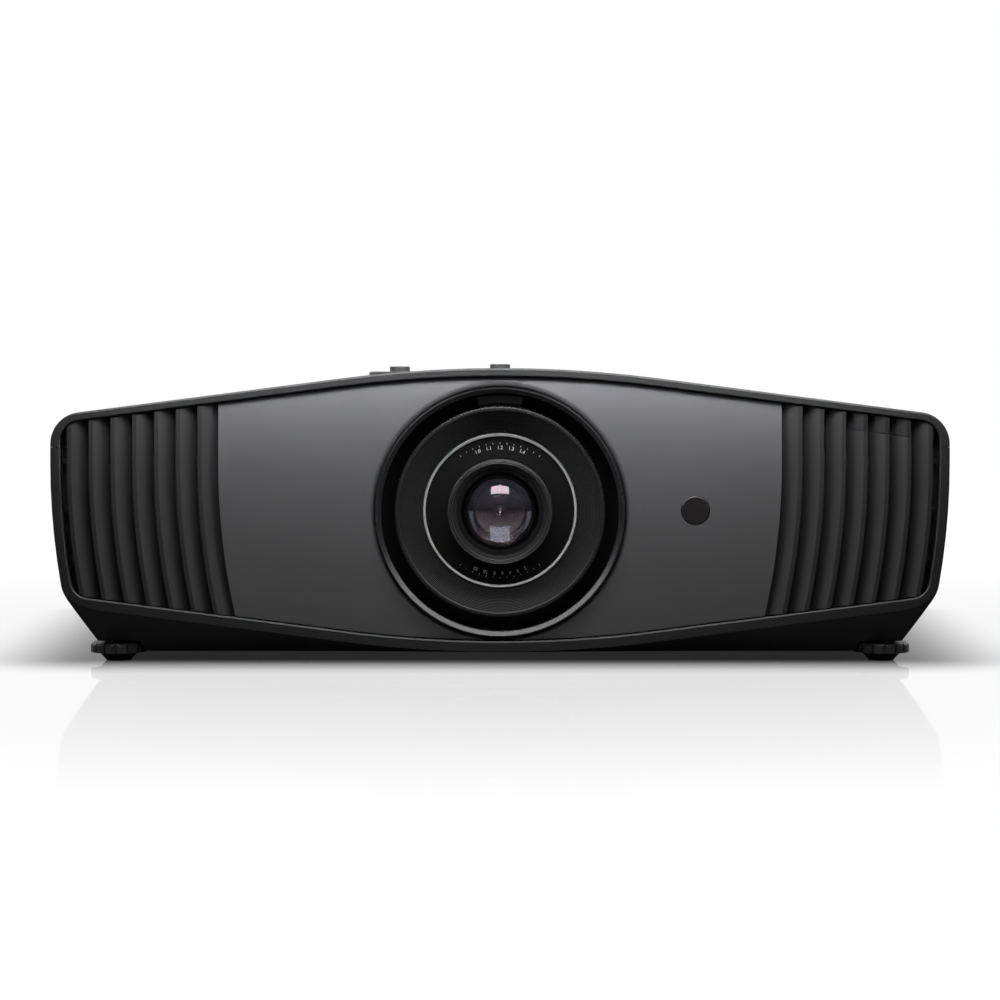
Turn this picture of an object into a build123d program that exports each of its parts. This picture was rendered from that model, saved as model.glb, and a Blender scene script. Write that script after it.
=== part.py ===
"""Home projector: lamp-lit projector with a centre lens behind a framed front.

Axes: +X to the right seen from the front, -Y forward along the light beam, +Z up.
Origin: on the floor, under the middle of the case. All sizes in millimetres.
Every depth named below counts back from the front face of the case.
"""
from build123d import *
from math import cos, radians, sin, sqrt, tan
import os

# ---------------------------------------------------------------- driving dimensions
# Case
CASE_DEPTH = 349.4
HALF_WIDTH = 246.2
CROWN_Z = 161.6          # top of the arched case above the floor, at the front
ARCH_HALF = 87.5         # half the width of the arc in the top edge
ARCH_RISE = 5.7          # how far that arc rises
TOP_SLOPE = 0.129        # fall of the top edge from the arc to the corner
TOP_FALL = 0.02          # fall of the top from front to back
BULGE_Z = 110.0          # height where the side is widest
SIDE_RADIUS = 387.0      # curve of the side below that height
KNEE_Z = 38.8            # height where the side turns in under the case
KNEE_ANGLE = 34.0        # lean of the lower flank from the vertical
CASE_BOTTOM = 5.5
KEEL_HALF = 75.0         # half the width of the arc in the bottom edge of the front
KEEL_Z = 6.4             # lowest point of the front frame
KEEL_RISE = 4.2
KEEL_SLOPE = 0.1276
KEEL_CORNER_X = HALF_WIDTH - 30.2    # the frame's lower edge turns up into the side here
CHIN_DEPTH = 14.0        # the front frame's lower edge meets the flat bottom here
WALL = 2.6
EDGE = 1.0               # rounding of the case's outer front and rear edges
TOP_CORNER = 17.4
KNEE_CORNER = 20.0
HEEL_CORNER = 9.0
SEAM_Z = 118.4           # top cover above, bottom case below
SEAM_GAP = 0.25
CLEARANCE = 0.3          # between pieces of the case that fit together
RUNNING = 0.05           # radial clearance of shafts and turning rings

# Front frame, panel and louvres
BAND_TOP = 4.6           # width of the front frame above its opening
BAND_SIDE = 5.5
BAND_BOTTOM = 5.6
OPENING_CORNER = 11.0
OPENING_FLARE = 0.7      # bevel round the opening's front edge
LEDGE_DEPTH = 9.0        # front panel and louvres sit on a ledge this far back
LEDGE_WIDTH = 3.0
FRAME_DEPTH = 17.0
PANEL_SETBACK = 1.2
PANEL_GAP = 0.7
PANEL_HALF = HALF_WIDTH - 91.9
PANEL_RADIUS = 1100.0    # upright curve of the panel's face
PANEL_LIP = 3.0          # rounding of the panel's edge round the lens
IR_X = 107.0
IR_Z = 83.7
IR_RADIUS = 7.9
IR_DOME = 0.9
BLADE_COUNT = 7
BLADE_PITCH = 11.91
BLADE_OUTER_X = HALF_WIDTH - 9.2
BLADE_FACE = 2.3
BLADE_GAP = 0.9
BLADE_FRONT = 1.0
BLADE_BACK = 6.2
BLADE_THICK = 1.5
TIE_BAR_HEIGHTS = (110.2, 83.7, 56.9)
TIE_BAR_HEIGHT = 2.4
TIE_BAR_THICK = 3.0
STATUS_BLADES = (1, 2, 3)    # blades with a light cap, counted from the outside
STATUS_HEIGHT = 9.6
STATUS_GAP = 0.3

# Lens: depths and radii
LENS_Z = 82.6
BEZEL_OUTER = 68.3
BEZEL_INNER = 65.4
BEZEL_THROAT = 68.8
BEZEL_WALL = 2.2
BEZEL_FLANGE = 2.0
BEZEL_CHAMFER = 2.4
BEZEL_WING = 10.0
BEZEL_WING_HALF = 40.0
BEZEL_DEPTH = 30.0
BARREL_RADIUS = 43.0
BARREL_WALL = 2.0
BARREL_FRONT = 20.5
BARREL_REAR = 96.0
FOCUS_FRONT = 7.0
FOCUS_REAR = 22.4
FOCUS_OUTER = 58.3
FOCUS_RIM = 2.7
CONE_TOP = 54.7
ZOOM_FRONT = 23.0
ZOOM_REAR = 29.6
ZOOM_OUTER = 50.0
LEVER_TIP_RADIUS = 63.8
LEVER_TIP_THICK = 4.0
LEVER_HALF_ANGLE = 11.5
LEVER_TIP_FRONT = 12.5
FLANGE_RADIUS = 56.0
FLANGE_THICK = 3.0
TRIM_WIDTH = 1.5
TRIM_THICK = 1.7
NAME_INNER = 29.3
NAME_THICK = 1.5
FRONT_BARREL_RADIUS = 28.8
FRONT_BARREL_FRONT = 6.0
FRONT_BARREL_REAR = 42.0
RETAINER_OUTER = 24.2
RETAINER_INNER = 21.5
RETAINER_THICK = 2.4
GLASS_RADIUS = 21.4     # part of the front element that shows
GLASS_EDGE = 4.0
GLASS_DOME = 2.3
INNER_BORE = 19.6
SPANNER_SLOT = 0.9
ZOOM_CARRIER_FRONT = 58.0
ZOOM_CARRIER_LENGTH = 18.0
ZOOM_GLASS_RADIUS = 24.0

# Lens shift
SHIFT_V = 3.5
SHIFT_H = 2.4
H_PLATE_RADIUS = 70.0
PLATE_THICK = 3.0
ROD_RADIUS = 2.0
H_ROD_OFFSET = 58.0
H_ROD_HALF = 54.0
POST_X = 88.0
POST_RADIUS = 2.5
KNOB_DEPTH = 56.0
KNOB_RADIUS = 5.7
KNOB_SINK = 1.2
SCREW_RADIUS = 2.0
H_KNOB_X = -56.6
H_KNOB_TOP = CROWN_Z + 0.6
V_KNOB_TOP = CROWN_Z + 1.9
SHIFT_BEZEL_Z = CROWN_Z - 2.3
SHIFT_BEZEL_THICK = 4.7
SHIFT_SEAT_WALL = 1.5    # top cover under the bezel
SHIFT_BEZEL_RADIUS = 17.3
PINION_RADIUS = 3.4
RACK_GAP = 0.4           # between the rack and the pinion
RACK_LENGTH = 30.0
RACK_WIDTH = 5.0
ARM_RISE = 64.6          # underside of the arm above the lens axis
ARM_THICK = 2.0
ARM_WIDTH = 10.0
WEB_LOW = 52.2           # the arm's web starts this far above the lens axis
WEB_WIDTH = 18.0

# Feet
FOOT_X = HALF_WIDTH - 35.2
FOOT_DEPTH_FRONT = 20.5
FOOT_DEPTH_REAR = CASE_DEPTH - 27.4
FOOT_DISC_RADIUS = 15.3
FOOT_DISC_Z = 4.7
FOOT_DISC_THICK = 5.2
FOOT_NOTCHES = 15
FOOT_PAD_TOP = 11.0
FOOT_PAD_LOW = 6.7
FOOT_STUD = 4.0
FOOT_TRAVEL = 15.0
FOOT_BOSS_WALL = 2.2
FOOT_POCKET_GAP = 1.5     # round the disc, and above it

# Vents and fans
GRILLE_PROUD = 0.5
GRILLE_FRONT = 62.0
GRILLE_REAR = CASE_DEPTH - 117.4
GRILLE_LOW = 50.0
GRILLE_HIGH = 122.9
GRILLE_LENGTH = GRILLE_REAR - GRILLE_FRONT
GRILLE_HEIGHT = GRILLE_HIGH - GRILLE_LOW
GRILLE_MIDDLE = (GRILLE_FRONT + GRILLE_REAR) / 2
GRILLE_MIDDLE_Z = (GRILLE_LOW + GRILLE_HIGH) / 2
GRILLE_CORNER = 6.0
SLOT_PITCH = 7.0
SLOT_WIDTH = 4.2
SLOT_END = 8.0
FAN_SIZE = 80.0
FAN_THICK = 20.0
FAN_BORE = 38.0
FAN_HUB = 16.0
FAN_BLADES = 7
FAN_DEPTH = 146.0
FAN_Z = 78.0
FAN_OUTER_X = HALF_WIDTH - 16.7

# Rear
REAR_SETBACK = 3.0
REAR_THICK = 2.6
BOARD_Z = 22.0
BOARD_THICK = 1.6
BOARD_HALF = 113.0
BOARD_FRONT = CASE_DEPTH - 135.4
BOARD_REAR = CASE_DEPTH - 19.4     # rear posts of the board
AC_X = 71.2 - HALF_WIDTH
AC_Z = 40.0
KEYPAD_X = HALF_WIDTH - 81.2
KEYPAD_Z = 92.0
KEY_TRAVEL = 0.8
KEY_PROUD = 1.0
KEYPAD_THICK = 2.0
NAV_OUTER = 15.0
NAV_INNER = 7.5
KEY_RADIUS = 4.5
KEY_SPREAD_X = 26.0
KEY_SPREAD_Z = 11.0

# Inside
LAMP_X = HALF_WIDTH - 81.2
LAMP_DEPTH = CASE_DEPTH - 109.4
LAMP_HALF_X = 40.0
LAMP_HALF_Y = 44.0
LAMP_HEIGHT = 92.0
ENGINE_FRONT = 106.0
ENGINE_LENGTH = 96.0
ENGINE_HALF = 62.0
ENGINE_LOW = 36.0
ENGINE_HIGH = 126.0
WHEEL_RADIUS = 24.0
WHEEL_THICK = 1.2
WHEEL_HUB = 8.0
POWER_X = -LAMP_X
POWER_DEPTH = CASE_DEPTH - 111.4
MOUNT_SPACING_X = 210.0
MOUNT_SPACING_Y = 230.0
MOUNT_DEPTH = CASE_DEPTH / 2
INSERT_RADIUS = 3.6
INSERT_BORE = 2.0        # M4 thread
INSERT_LENGTH = 9.0

Y_FRONT = -CASE_DEPTH / 2
FLOOR_Z = CASE_BOTTOM + WALL     # inside floor of the case


# ---------------------------------------------------------------- planes and outlines
def at_depth(depth):
    """Plane across the case at a depth behind its front: local x is X, local y is Z."""
    return Plane(origin=(0, Y_FRONT + depth, 0), x_dir=(1, 0, 0), z_dir=(0, -1, 0))


def lens_at(depth, x=0.0, z=LENS_Z):
    """Plane across the lens axis at a depth, facing forward, centred on the lens."""
    return Plane(origin=(x, Y_FRONT + depth, z), x_dir=(1, 0, 0), z_dir=(0, -1, 0))


def level(z, x=0.0, depth=0.0):
    """Horizontal plane at height z, centred at x and a depth."""
    return Plane(origin=(x, Y_FRONT + depth, z), x_dir=(1, 0, 0), z_dir=(0, 0, 1))


def across(x, depth, z):
    """Plane facing +X, centred at a point: local x runs back, local y is up."""
    return Plane(origin=(x, Y_FRONT + depth, z), x_dir=(0, 1, 0), z_dir=(1, 0, 0))


LENS_PROFILE = Plane(origin=(0, Y_FRONT, LENS_Z), x_dir=(1, 0, 0), z_dir=(0, 0, 1))
LENS_AXIS = Axis((0, 0, LENS_Z), (0, 1, 0))


def side_x(z, half_width):
    """Half width of the case at height z, for a side whose widest half width is given."""
    if z >= BULGE_Z:
        return half_width
    return half_width - SIDE_RADIUS + sqrt(SIDE_RADIUS**2 - (z - BULGE_Z) ** 2)


def top_z(x, inset=0.0, drop=0.0):
    """Height of the top edge at x, before its corner is rounded."""
    x = abs(x)
    shoulder = CROWN_Z - ARCH_RISE - inset - drop
    if x >= ARCH_HALF:
        return shoulder - TOP_SLOPE * (x - ARCH_HALF)
    return shoulder + ARCH_RISE * (1 - (x / ARCH_HALF) ** 2)


def keel_z(x, inset=0.0):
    """Height of the front frame's lower edge at x."""
    x = abs(x)
    shoulder = KEEL_Z + KEEL_RISE + inset
    if x >= KEEL_HALF:
        return shoulder + KEEL_SLOPE * (x - KEEL_HALF)
    return shoulder - KEEL_RISE * (1 - (x / KEEL_HALF) ** 2)


def fall(depth):
    """How much lower the top is at a depth than at the front."""
    return TOP_FALL * depth


def case_section(depth, inset=0.0):
    """Closed outline of the case at a depth: arched top, bulged sides, leaning flanks."""
    drop = fall(depth)
    half = HALF_WIDTH - inset
    corner_z = top_z(half, inset, drop)
    knee_x = side_x(KNEE_Z, half)
    bottom = CASE_BOTTOM + inset
    heel_x = knee_x - (KNEE_Z - bottom) * tan(radians(KNEE_ANGLE))
    side_mid_z = (BULGE_Z + KNEE_Z) / 2
    arch_z = top_z(ARCH_HALF, inset, drop)
    with BuildSketch(at_depth(depth)) as section:
        with BuildLine():
            ThreePointArc((-ARCH_HALF, arch_z), (0, top_z(0, inset, drop)), (ARCH_HALF, arch_z))
            for sign in (1, -1):
                Line((sign * ARCH_HALF, arch_z), (sign * half, corner_z))
                Line((sign * half, corner_z), (sign * half, BULGE_Z))
                ThreePointArc(
                    (sign * half, BULGE_Z),
                    (sign * side_x(side_mid_z, half), side_mid_z),
                    (sign * knee_x, KNEE_Z),
                )
                Line((sign * knee_x, KNEE_Z), (sign * heel_x, bottom))
            Line((-heel_x, bottom), (heel_x, bottom))
        make_face()
        for x, z, radius in (
            (half, corner_z, TOP_CORNER - inset),
            (knee_x, KNEE_Z, KNEE_CORNER - inset),
            (heel_x, bottom, HEEL_CORNER - inset),
        ):
            for sign in (1, -1):
                fillet(section.vertices().sort_by_distance((sign * x, z, 0))[0], radius)
    return section.sketch


def opening_section(depth, gap=0.0, ledge=0.0):
    """Outline of the hole in the front frame, made smaller by a gap or by the ledge."""
    half = HALF_WIDTH - BAND_SIDE - gap - ledge
    top_in = BAND_TOP + gap + ledge
    low_in = BAND_BOTTOM + gap + ledge
    low_z = keel_z(side_x(KNEE_Z, half), low_in)
    low_x = side_x(low_z, half)
    mid_z = (BULGE_Z + low_z) / 2
    corner_z = top_z(half, top_in)
    arch_z = top_z(ARCH_HALF, top_in)
    keel_end = keel_z(KEEL_HALF, low_in)
    with BuildSketch(at_depth(depth)) as section:
        with BuildLine():
            ThreePointArc((-ARCH_HALF, arch_z), (0, top_z(0, top_in)), (ARCH_HALF, arch_z))
            for sign in (1, -1):
                Line((sign * ARCH_HALF, arch_z), (sign * half, corner_z))
                Line((sign * half, corner_z), (sign * half, BULGE_Z))
                ThreePointArc(
                    (sign * half, BULGE_Z), (sign * side_x(mid_z, half), mid_z), (sign * low_x, low_z)
                )
                Line((sign * low_x, low_z), (sign * KEEL_HALF, keel_end))
            ThreePointArc((-KEEL_HALF, keel_end), (0, keel_z(0, low_in)), (KEEL_HALF, keel_end))
        make_face()
        for x, z in ((half, corner_z), (low_x, low_z)):
            for sign in (1, -1):
                fillet(section.vertices().sort_by_distance((sign * x, z, 0))[0], OPENING_CORNER - gap)
    return section.sketch


def chin_section(depth, middle, end, corner_z, out_x, out_z):
    """Region below the front frame at a depth, cut away from the case."""
    with BuildSketch(at_depth(depth)) as section:
        with BuildLine():
            ThreePointArc((-KEEL_HALF, end), (0, middle), (KEEL_HALF, end))
            for sign in (1, -1):
                Line((sign * KEEL_HALF, end), (sign * KEEL_CORNER_X, corner_z))
                ThreePointArc(
                    (sign * KEEL_CORNER_X, corner_z),
                    (sign * (0.3 * KEEL_CORNER_X + 0.7 * out_x), 0.7 * corner_z + 0.3 * out_z),
                    (sign * out_x, out_z),
                )
                Line((sign * out_x, out_z), (sign * out_x, -40))
            Line((-out_x, -40), (out_x, -40))
        make_face()
    return section.sketch


def turned(points):
    """Ring or barrel about the lens axis from its (radius, depth) outline."""
    with BuildPart() as piece:
        with BuildSketch(LENS_PROFILE):
            with BuildLine():
                Polyline(*points, close=True)
            make_face()
        revolve(axis=LENS_AXIS)
    return piece.part


# ---------------------------------------------------------------- case
FOOT_PLACES = [
    (FOOT_X, FOOT_DEPTH_FRONT),
    (-FOOT_X, FOOT_DEPTH_FRONT),
    (FOOT_X, FOOT_DEPTH_REAR),
    (-FOOT_X, FOOT_DEPTH_REAR),
]
MOUNT_PLACES = [
    (sx * MOUNT_SPACING_X / 2, MOUNT_DEPTH + sy * MOUNT_SPACING_Y / 2) for sx in (1, -1) for sy in (1, -1)
]
POCKET_RADIUS = FOOT_DISC_RADIUS + FOOT_POCKET_GAP
POCKET_TOP = FOOT_DISC_Z + FOOT_DISC_THICK + FOOT_POCKET_GAP
FOOT_BOSS_TOP = POCKET_TOP + FOOT_BOSS_WALL + FOOT_TRAVEL + 7
BOARD_POSTS = [
    (x, depth) for x in (-BOARD_HALF + 8, BOARD_HALF - 8) for depth in (BOARD_FRONT + 8, BOARD_REAR)
]

with BuildPart() as outer:
    stations = ((0, EDGE), (0.3 * EDGE, 0.3 * EDGE), (EDGE, 0), (CASE_DEPTH - EDGE, 0), (CASE_DEPTH, EDGE))
    loft([case_section(depth, inset) for depth, inset in stations], ruled=True)

with BuildPart() as chin:
    keel_corner_z = keel_z(KEEL_CORNER_X)
    front = (KEEL_Z, keel_z(KEEL_HALF), keel_corner_z, HALF_WIDTH + 3, keel_corner_z + 34)
    rear = (CASE_BOTTOM - 1.2, CASE_BOTTOM - 0.6, CASE_BOTTOM - 0.6, HALF_WIDTH + 14, 34)
    loft([chin_section(-1, *front), chin_section(0, *front), chin_section(CHIN_DEPTH, *rear)], ruled=True)

with BuildPart() as cavity:
    loft([case_section(depth, WALL) for depth in (FRAME_DEPTH, CASE_DEPTH + 1)], ruled=True)

with BuildPart() as grille_window:
    with BuildSketch(across(-HALF_WIDTH - 10, GRILLE_MIDDLE, GRILLE_MIDDLE_Z)):
        RectangleRounded(GRILLE_LENGTH, GRILLE_HEIGHT, GRILLE_CORNER)
    extrude(amount=2 * HALF_WIDTH + 20)

with BuildPart() as case_shell:
    add(outer.part)
    add(chin.part, mode=Mode.SUBTRACT)
    add(cavity.part, mode=Mode.SUBTRACT)
    flare = [opening_section(0, -OPENING_FLARE), opening_section(OPENING_FLARE, 0)]
    loft(flare, ruled=True, mode=Mode.SUBTRACT)
    extrude(opening_section(OPENING_FLARE), amount=OPENING_FLARE - LEDGE_DEPTH, mode=Mode.SUBTRACT)
    inner_opening = opening_section(LEDGE_DEPTH, 0, LEDGE_WIDTH)
    extrude(inner_opening, amount=LEDGE_DEPTH - FRAME_DEPTH - 0.1, mode=Mode.SUBTRACT)
    with BuildSketch(lens_at(LEDGE_DEPTH)):
        Circle(BEZEL_THROAT + BEZEL_WALL + CLEARANCE)
    extrude(amount=-(BEZEL_DEPTH - LEDGE_DEPTH), mode=Mode.SUBTRACT)
    with BuildSketch(across(-HALF_WIDTH - 10, GRILLE_MIDDLE, GRILLE_MIDDLE_Z)):
        RectangleRounded(
            GRILLE_LENGTH + 2 * CLEARANCE, GRILLE_HEIGHT + 2 * CLEARANCE, GRILLE_CORNER + CLEARANCE
        )
    extrude(amount=2 * HALF_WIDTH + 20, mode=Mode.SUBTRACT)

with BuildPart() as top_cover:
    add(case_shell.part)
    split(bisect_by=Plane.XY.offset(SEAM_Z), keep=Keep.TOP)
    # boss under the bezel of the horizontal shift knob, and its seat
    seat_z = SHIFT_BEZEL_Z - SHIFT_BEZEL_THICK
    with BuildSketch(level(seat_z - SHIFT_SEAT_WALL, H_KNOB_X, KNOB_DEPTH)):
        Circle(SHIFT_BEZEL_RADIUS + 3)
    extrude(amount=SHIFT_SEAT_WALL + 0.1)
    with BuildSketch(level(seat_z, H_KNOB_X, KNOB_DEPTH)):
        Circle(SHIFT_BEZEL_RADIUS + CLEARANCE)
    extrude(amount=10, mode=Mode.SUBTRACT)
    with BuildSketch(level(seat_z - SHIFT_SEAT_WALL - 4, H_KNOB_X, KNOB_DEPTH)):
        Circle(SHIFT_BEZEL_RADIUS - 4)
    extrude(amount=10, mode=Mode.SUBTRACT)
    # recess and hole for the vertical shift knob
    with BuildSketch(level(V_KNOB_TOP - 5.2, 0, KNOB_DEPTH)):
        Circle(KNOB_RADIUS + 0.8)
    extrude(amount=6, mode=Mode.SUBTRACT)
    with BuildSketch(level(V_KNOB_TOP - 20, 0, KNOB_DEPTH)):
        Circle(SCREW_RADIUS + RUNNING)
    extrude(amount=20, mode=Mode.SUBTRACT)

with BuildPart() as foot_bosses:
    for x, depth in FOOT_PLACES:
        with BuildSketch(level(CASE_BOTTOM, x, depth)):
            Circle(POCKET_RADIUS + FOOT_BOSS_WALL)
        extrude(amount=POCKET_TOP + FOOT_BOSS_WALL - CASE_BOTTOM)
        with BuildSketch(level(POCKET_TOP, x, depth)):
            Circle(FOOT_STUD + 3.5)
        extrude(amount=FOOT_BOSS_TOP - POCKET_TOP)
    add(outer.part, mode=Mode.INTERSECT)
    add(chin.part, mode=Mode.SUBTRACT)

with BuildPart() as bottom_case:
    add(case_shell.part)
    split(bisect_by=Plane.XY.offset(SEAM_Z - SEAM_GAP), keep=Keep.BOTTOM)
    # foot pockets with their threaded bosses
    add(foot_bosses.part)
    for x, depth in FOOT_PLACES:
        with BuildSketch(level(0, x, depth)):
            Circle(POCKET_RADIUS)
        extrude(amount=POCKET_TOP, mode=Mode.SUBTRACT)
        with BuildSketch(level(0, x, depth)):
            Circle(FOOT_STUD + RUNNING)
        extrude(amount=FOOT_BOSS_TOP - 2, mode=Mode.SUBTRACT)
    # posts that carry the main board
    for x, depth in BOARD_POSTS:
        with BuildSketch(level(FLOOR_Z - 0.5, x, depth)):
            Circle(4)
        extrude(amount=BOARD_Z - FLOOR_Z + 0.5)
    # bosses that hold the ceiling-mount inserts
    for x, depth in MOUNT_PLACES:
        with BuildSketch(level(CASE_BOTTOM, x, depth)):
            Circle(INSERT_RADIUS + 3)
        extrude(amount=INSERT_LENGTH + 1.5)
        with BuildSketch(level(CASE_BOTTOM, x, depth)):
            Circle(INSERT_RADIUS)
        extrude(amount=INSERT_LENGTH, mode=Mode.SUBTRACT)
    # hatch under the lamp
    with BuildSketch(level(CASE_BOTTOM, LAMP_X, LAMP_DEPTH)):
        RectangleRounded(2 * LAMP_HALF_X + 2 * CLEARANCE, 2 * LAMP_HALF_Y + 2 * CLEARANCE, 4)
    extrude(amount=WALL + 1, mode=Mode.SUBTRACT)

with BuildPart() as mount_inserts:
    for x, depth in MOUNT_PLACES:
        with BuildSketch(level(CASE_BOTTOM, x, depth)):
            Circle(INSERT_RADIUS)
            Circle(INSERT_BORE, mode=Mode.SUBTRACT)
        extrude(amount=INSERT_LENGTH)

# ---------------------------------------------------------------- front panel and louvres
def panel_outline(half):
    """Sides of the front panel for a half width, curved inward at the bottom."""
    foot = LENS_Z - 80
    mid = (BULGE_Z + foot) / 2
    with BuildSketch(at_depth(0)) as section:
        with BuildLine():
            for sign in (1, -1):
                Line((0, CROWN_Z + 5), (sign * half, CROWN_Z + 5))
                Line((sign * half, CROWN_Z + 5), (sign * half, BULGE_Z))
                ThreePointArc(
                    (sign * half, BULGE_Z),
                    (sign * side_x(mid, half), mid),
                    (sign * side_x(foot, half), foot),
                )
                Line((sign * side_x(foot, half), foot), (0, foot))
        make_face()
    return section.sketch


with BuildPart() as front_panel:
    extrude(opening_section(PANEL_SETBACK, PANEL_GAP), amount=PANEL_SETBACK - LEDGE_DEPTH)
    extrude(panel_outline(PANEL_HALF), amount=-LEDGE_DEPTH - 1, mode=Mode.INTERSECT)
    with BuildSketch(across(-HALF_WIDTH, PANEL_SETBACK + PANEL_RADIUS, IR_Z)):
        Circle(PANEL_RADIUS)
    extrude(amount=2 * HALF_WIDTH, mode=Mode.INTERSECT)
    with BuildSketch(lens_at(0)):
        Circle(BEZEL_OUTER + CLEARANCE)
    extrude(amount=-LEDGE_DEPTH - 1, mode=Mode.SUBTRACT)
    bore = front_panel.edges().sort_by_distance((0, Y_FRONT, LENS_Z + BEZEL_OUTER))[0]
    fillet(bore, PANEL_LIP)
    with BuildSketch(lens_at(0, IR_X, IR_Z)):
        Circle(IR_RADIUS + 0.2)
    extrude(amount=-LEDGE_DEPTH - 1, mode=Mode.SUBTRACT)

with BuildPart() as ir_window:
    with BuildSketch(lens_at(PANEL_SETBACK - 0.2, IR_X, IR_Z)):
        Circle(IR_RADIUS)
    extrude(amount=-(LEDGE_DEPTH - PANEL_SETBACK + 0.2))
    with BuildSketch(lens_at(LEDGE_DEPTH, IR_X, IR_Z)):
        Circle(IR_RADIUS + 2)
    extrude(amount=-1.5)
    fillet(ir_window.edges().group_by(Axis.Y)[0], IR_DOME)


def blade(outer_x):
    """One louvre blade: flat front edge on its outer side, face sloping back to the lens."""
    inner_x = outer_x - BLADE_PITCH + BLADE_GAP
    start = Plane(origin=(0, Y_FRONT, CROWN_Z), x_dir=(1, 0, 0), z_dir=(0, 0, 1))
    foot = LENS_Z - 80
    mid = (BULGE_Z + foot) / 2
    with BuildPart() as piece:
        with BuildLine() as path:
            y = Y_FRONT + BLADE_FRONT
            Line((outer_x, y, CROWN_Z), (outer_x, y, BULGE_Z))
            ThreePointArc(
                (outer_x, y, BULGE_Z),
                (side_x(mid, outer_x), y, mid),
                (side_x(foot, outer_x), y, foot),
            )
        with BuildSketch(start):
            with BuildLine():
                Polyline(
                    (outer_x, BLADE_FRONT),
                    (outer_x, BLADE_FRONT + BLADE_THICK),
                    (outer_x - BLADE_FACE + 0.4, BLADE_FRONT + BLADE_THICK),
                    (inner_x, BLADE_BACK + BLADE_THICK),
                    (inner_x, BLADE_BACK),
                    (outer_x - BLADE_FACE, BLADE_FRONT),
                    close=True,
                )
            make_face()
        sweep(path=path.wire())
    return piece.part


BLADE_XS = [BLADE_OUTER_X - BLADE_PITCH * i for i in range(BLADE_COUNT)]
with BuildPart() as blades:
    for outer_x in BLADE_XS:
        add(blade(outer_x))
    extrude(opening_section(0, PANEL_GAP), amount=-LEDGE_DEPTH, mode=Mode.INTERSECT)
    extrude(panel_outline(PANEL_HALF + CLEARANCE), amount=-LEDGE_DEPTH, mode=Mode.SUBTRACT)

cap_outer = BLADE_XS[STATUS_BLADES[0]] + 0.5 * BLADE_GAP
cap_inner = BLADE_XS[STATUS_BLADES[-1]] - BLADE_PITCH + 0.5 * BLADE_GAP


def cap_region(extra):
    """Block that covers the status caps, standing lower by extra."""
    low_out = top_z(cap_outer, BAND_TOP + STATUS_HEIGHT + extra)
    low_in = top_z(cap_inner, BAND_TOP + STATUS_HEIGHT + extra)
    with BuildPart() as region:
        with BuildSketch(at_depth(0)):
            with BuildLine():
                Polyline(
                    (cap_inner, low_in),
                    (cap_outer, low_out),
                    (cap_outer, CROWN_Z),
                    (cap_inner, CROWN_Z),
                    close=True,
                )
            make_face()
        extrude(amount=-LEDGE_DEPTH)
    return region.part


with BuildPart() as status_windows:
    add(blades.part)
    add(cap_region(0), mode=Mode.INTERSECT)
    with BuildSketch(at_depth(LEDGE_DEPTH - 0.1)):
        with BuildLine():
            Polyline(
                (cap_inner + 1.5, top_z(cap_inner, BAND_TOP + 1.5)),
                (cap_outer - 1.5, top_z(cap_outer, BAND_TOP + 1.5)),
                (cap_outer - 1.5, top_z(cap_outer, BAND_TOP + STATUS_HEIGHT - 1)),
                (cap_inner + 1.5, top_z(cap_inner, BAND_TOP + STATUS_HEIGHT - 1)),
                close=True,
            )
        make_face()
    extrude(amount=1.7)


def tie_bars(x_low, x_high):
    """Bars behind the blades, seated on the ledge of the case."""
    with BuildPart() as bars:
        for z in TIE_BAR_HEIGHTS:
            shift = side_x(z, HALF_WIDTH) - HALF_WIDTH
            with BuildSketch(at_depth(LEDGE_DEPTH)):
                with Locations(((x_low + x_high) / 2 + shift, z)):
                    Rectangle(x_high - x_low, TIE_BAR_HEIGHT)
            extrude(amount=TIE_BAR_THICK)
    return bars.part


LOUVRE_BARS = tie_bars(PANEL_HALF + PANEL_GAP, HALF_WIDTH - BAND_SIDE - PANEL_GAP)
with BuildPart() as right_louver:
    add(blades.part)
    add(cap_region(STATUS_GAP), mode=Mode.SUBTRACT)
    add(LOUVRE_BARS)

with BuildPart() as left_blank:
    add(blades.part)
    add(LOUVRE_BARS)
with BuildPart() as left_louver:
    add(left_blank.part.mirror(Plane.YZ))

# ---------------------------------------------------------------- side grilles
with BuildPart() as grille_blank:
    loft([case_section(depth, -GRILLE_PROUD) for depth in (GRILLE_FRONT - 5, GRILLE_REAR + 5)], ruled=True)
    hollow = [case_section(depth, WALL) for depth in (GRILLE_FRONT - 6, GRILLE_REAR + 6)]
    loft(hollow, ruled=True, mode=Mode.SUBTRACT)
    add(grille_window.part, mode=Mode.INTERSECT)
    slots = int((GRILLE_LENGTH - 2 * SLOT_END) / SLOT_PITCH)
    with BuildSketch(across(-HALF_WIDTH - 10, GRILLE_MIDDLE, GRILLE_MIDDLE_Z)):
        with GridLocations(SLOT_PITCH, 1, slots, 1):
            SlotOverall(GRILLE_HEIGHT - 2 * SLOT_END, SLOT_WIDTH, rotation=90)
    extrude(amount=2 * HALF_WIDTH + 20, mode=Mode.SUBTRACT)
with BuildPart() as side_grille_left:
    add(grille_blank.part)
    split(bisect_by=Plane.YZ, keep=Keep.BOTTOM)
with BuildPart() as side_grille_right:
    add(grille_blank.part)
    split(bisect_by=Plane.YZ, keep=Keep.TOP)

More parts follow.
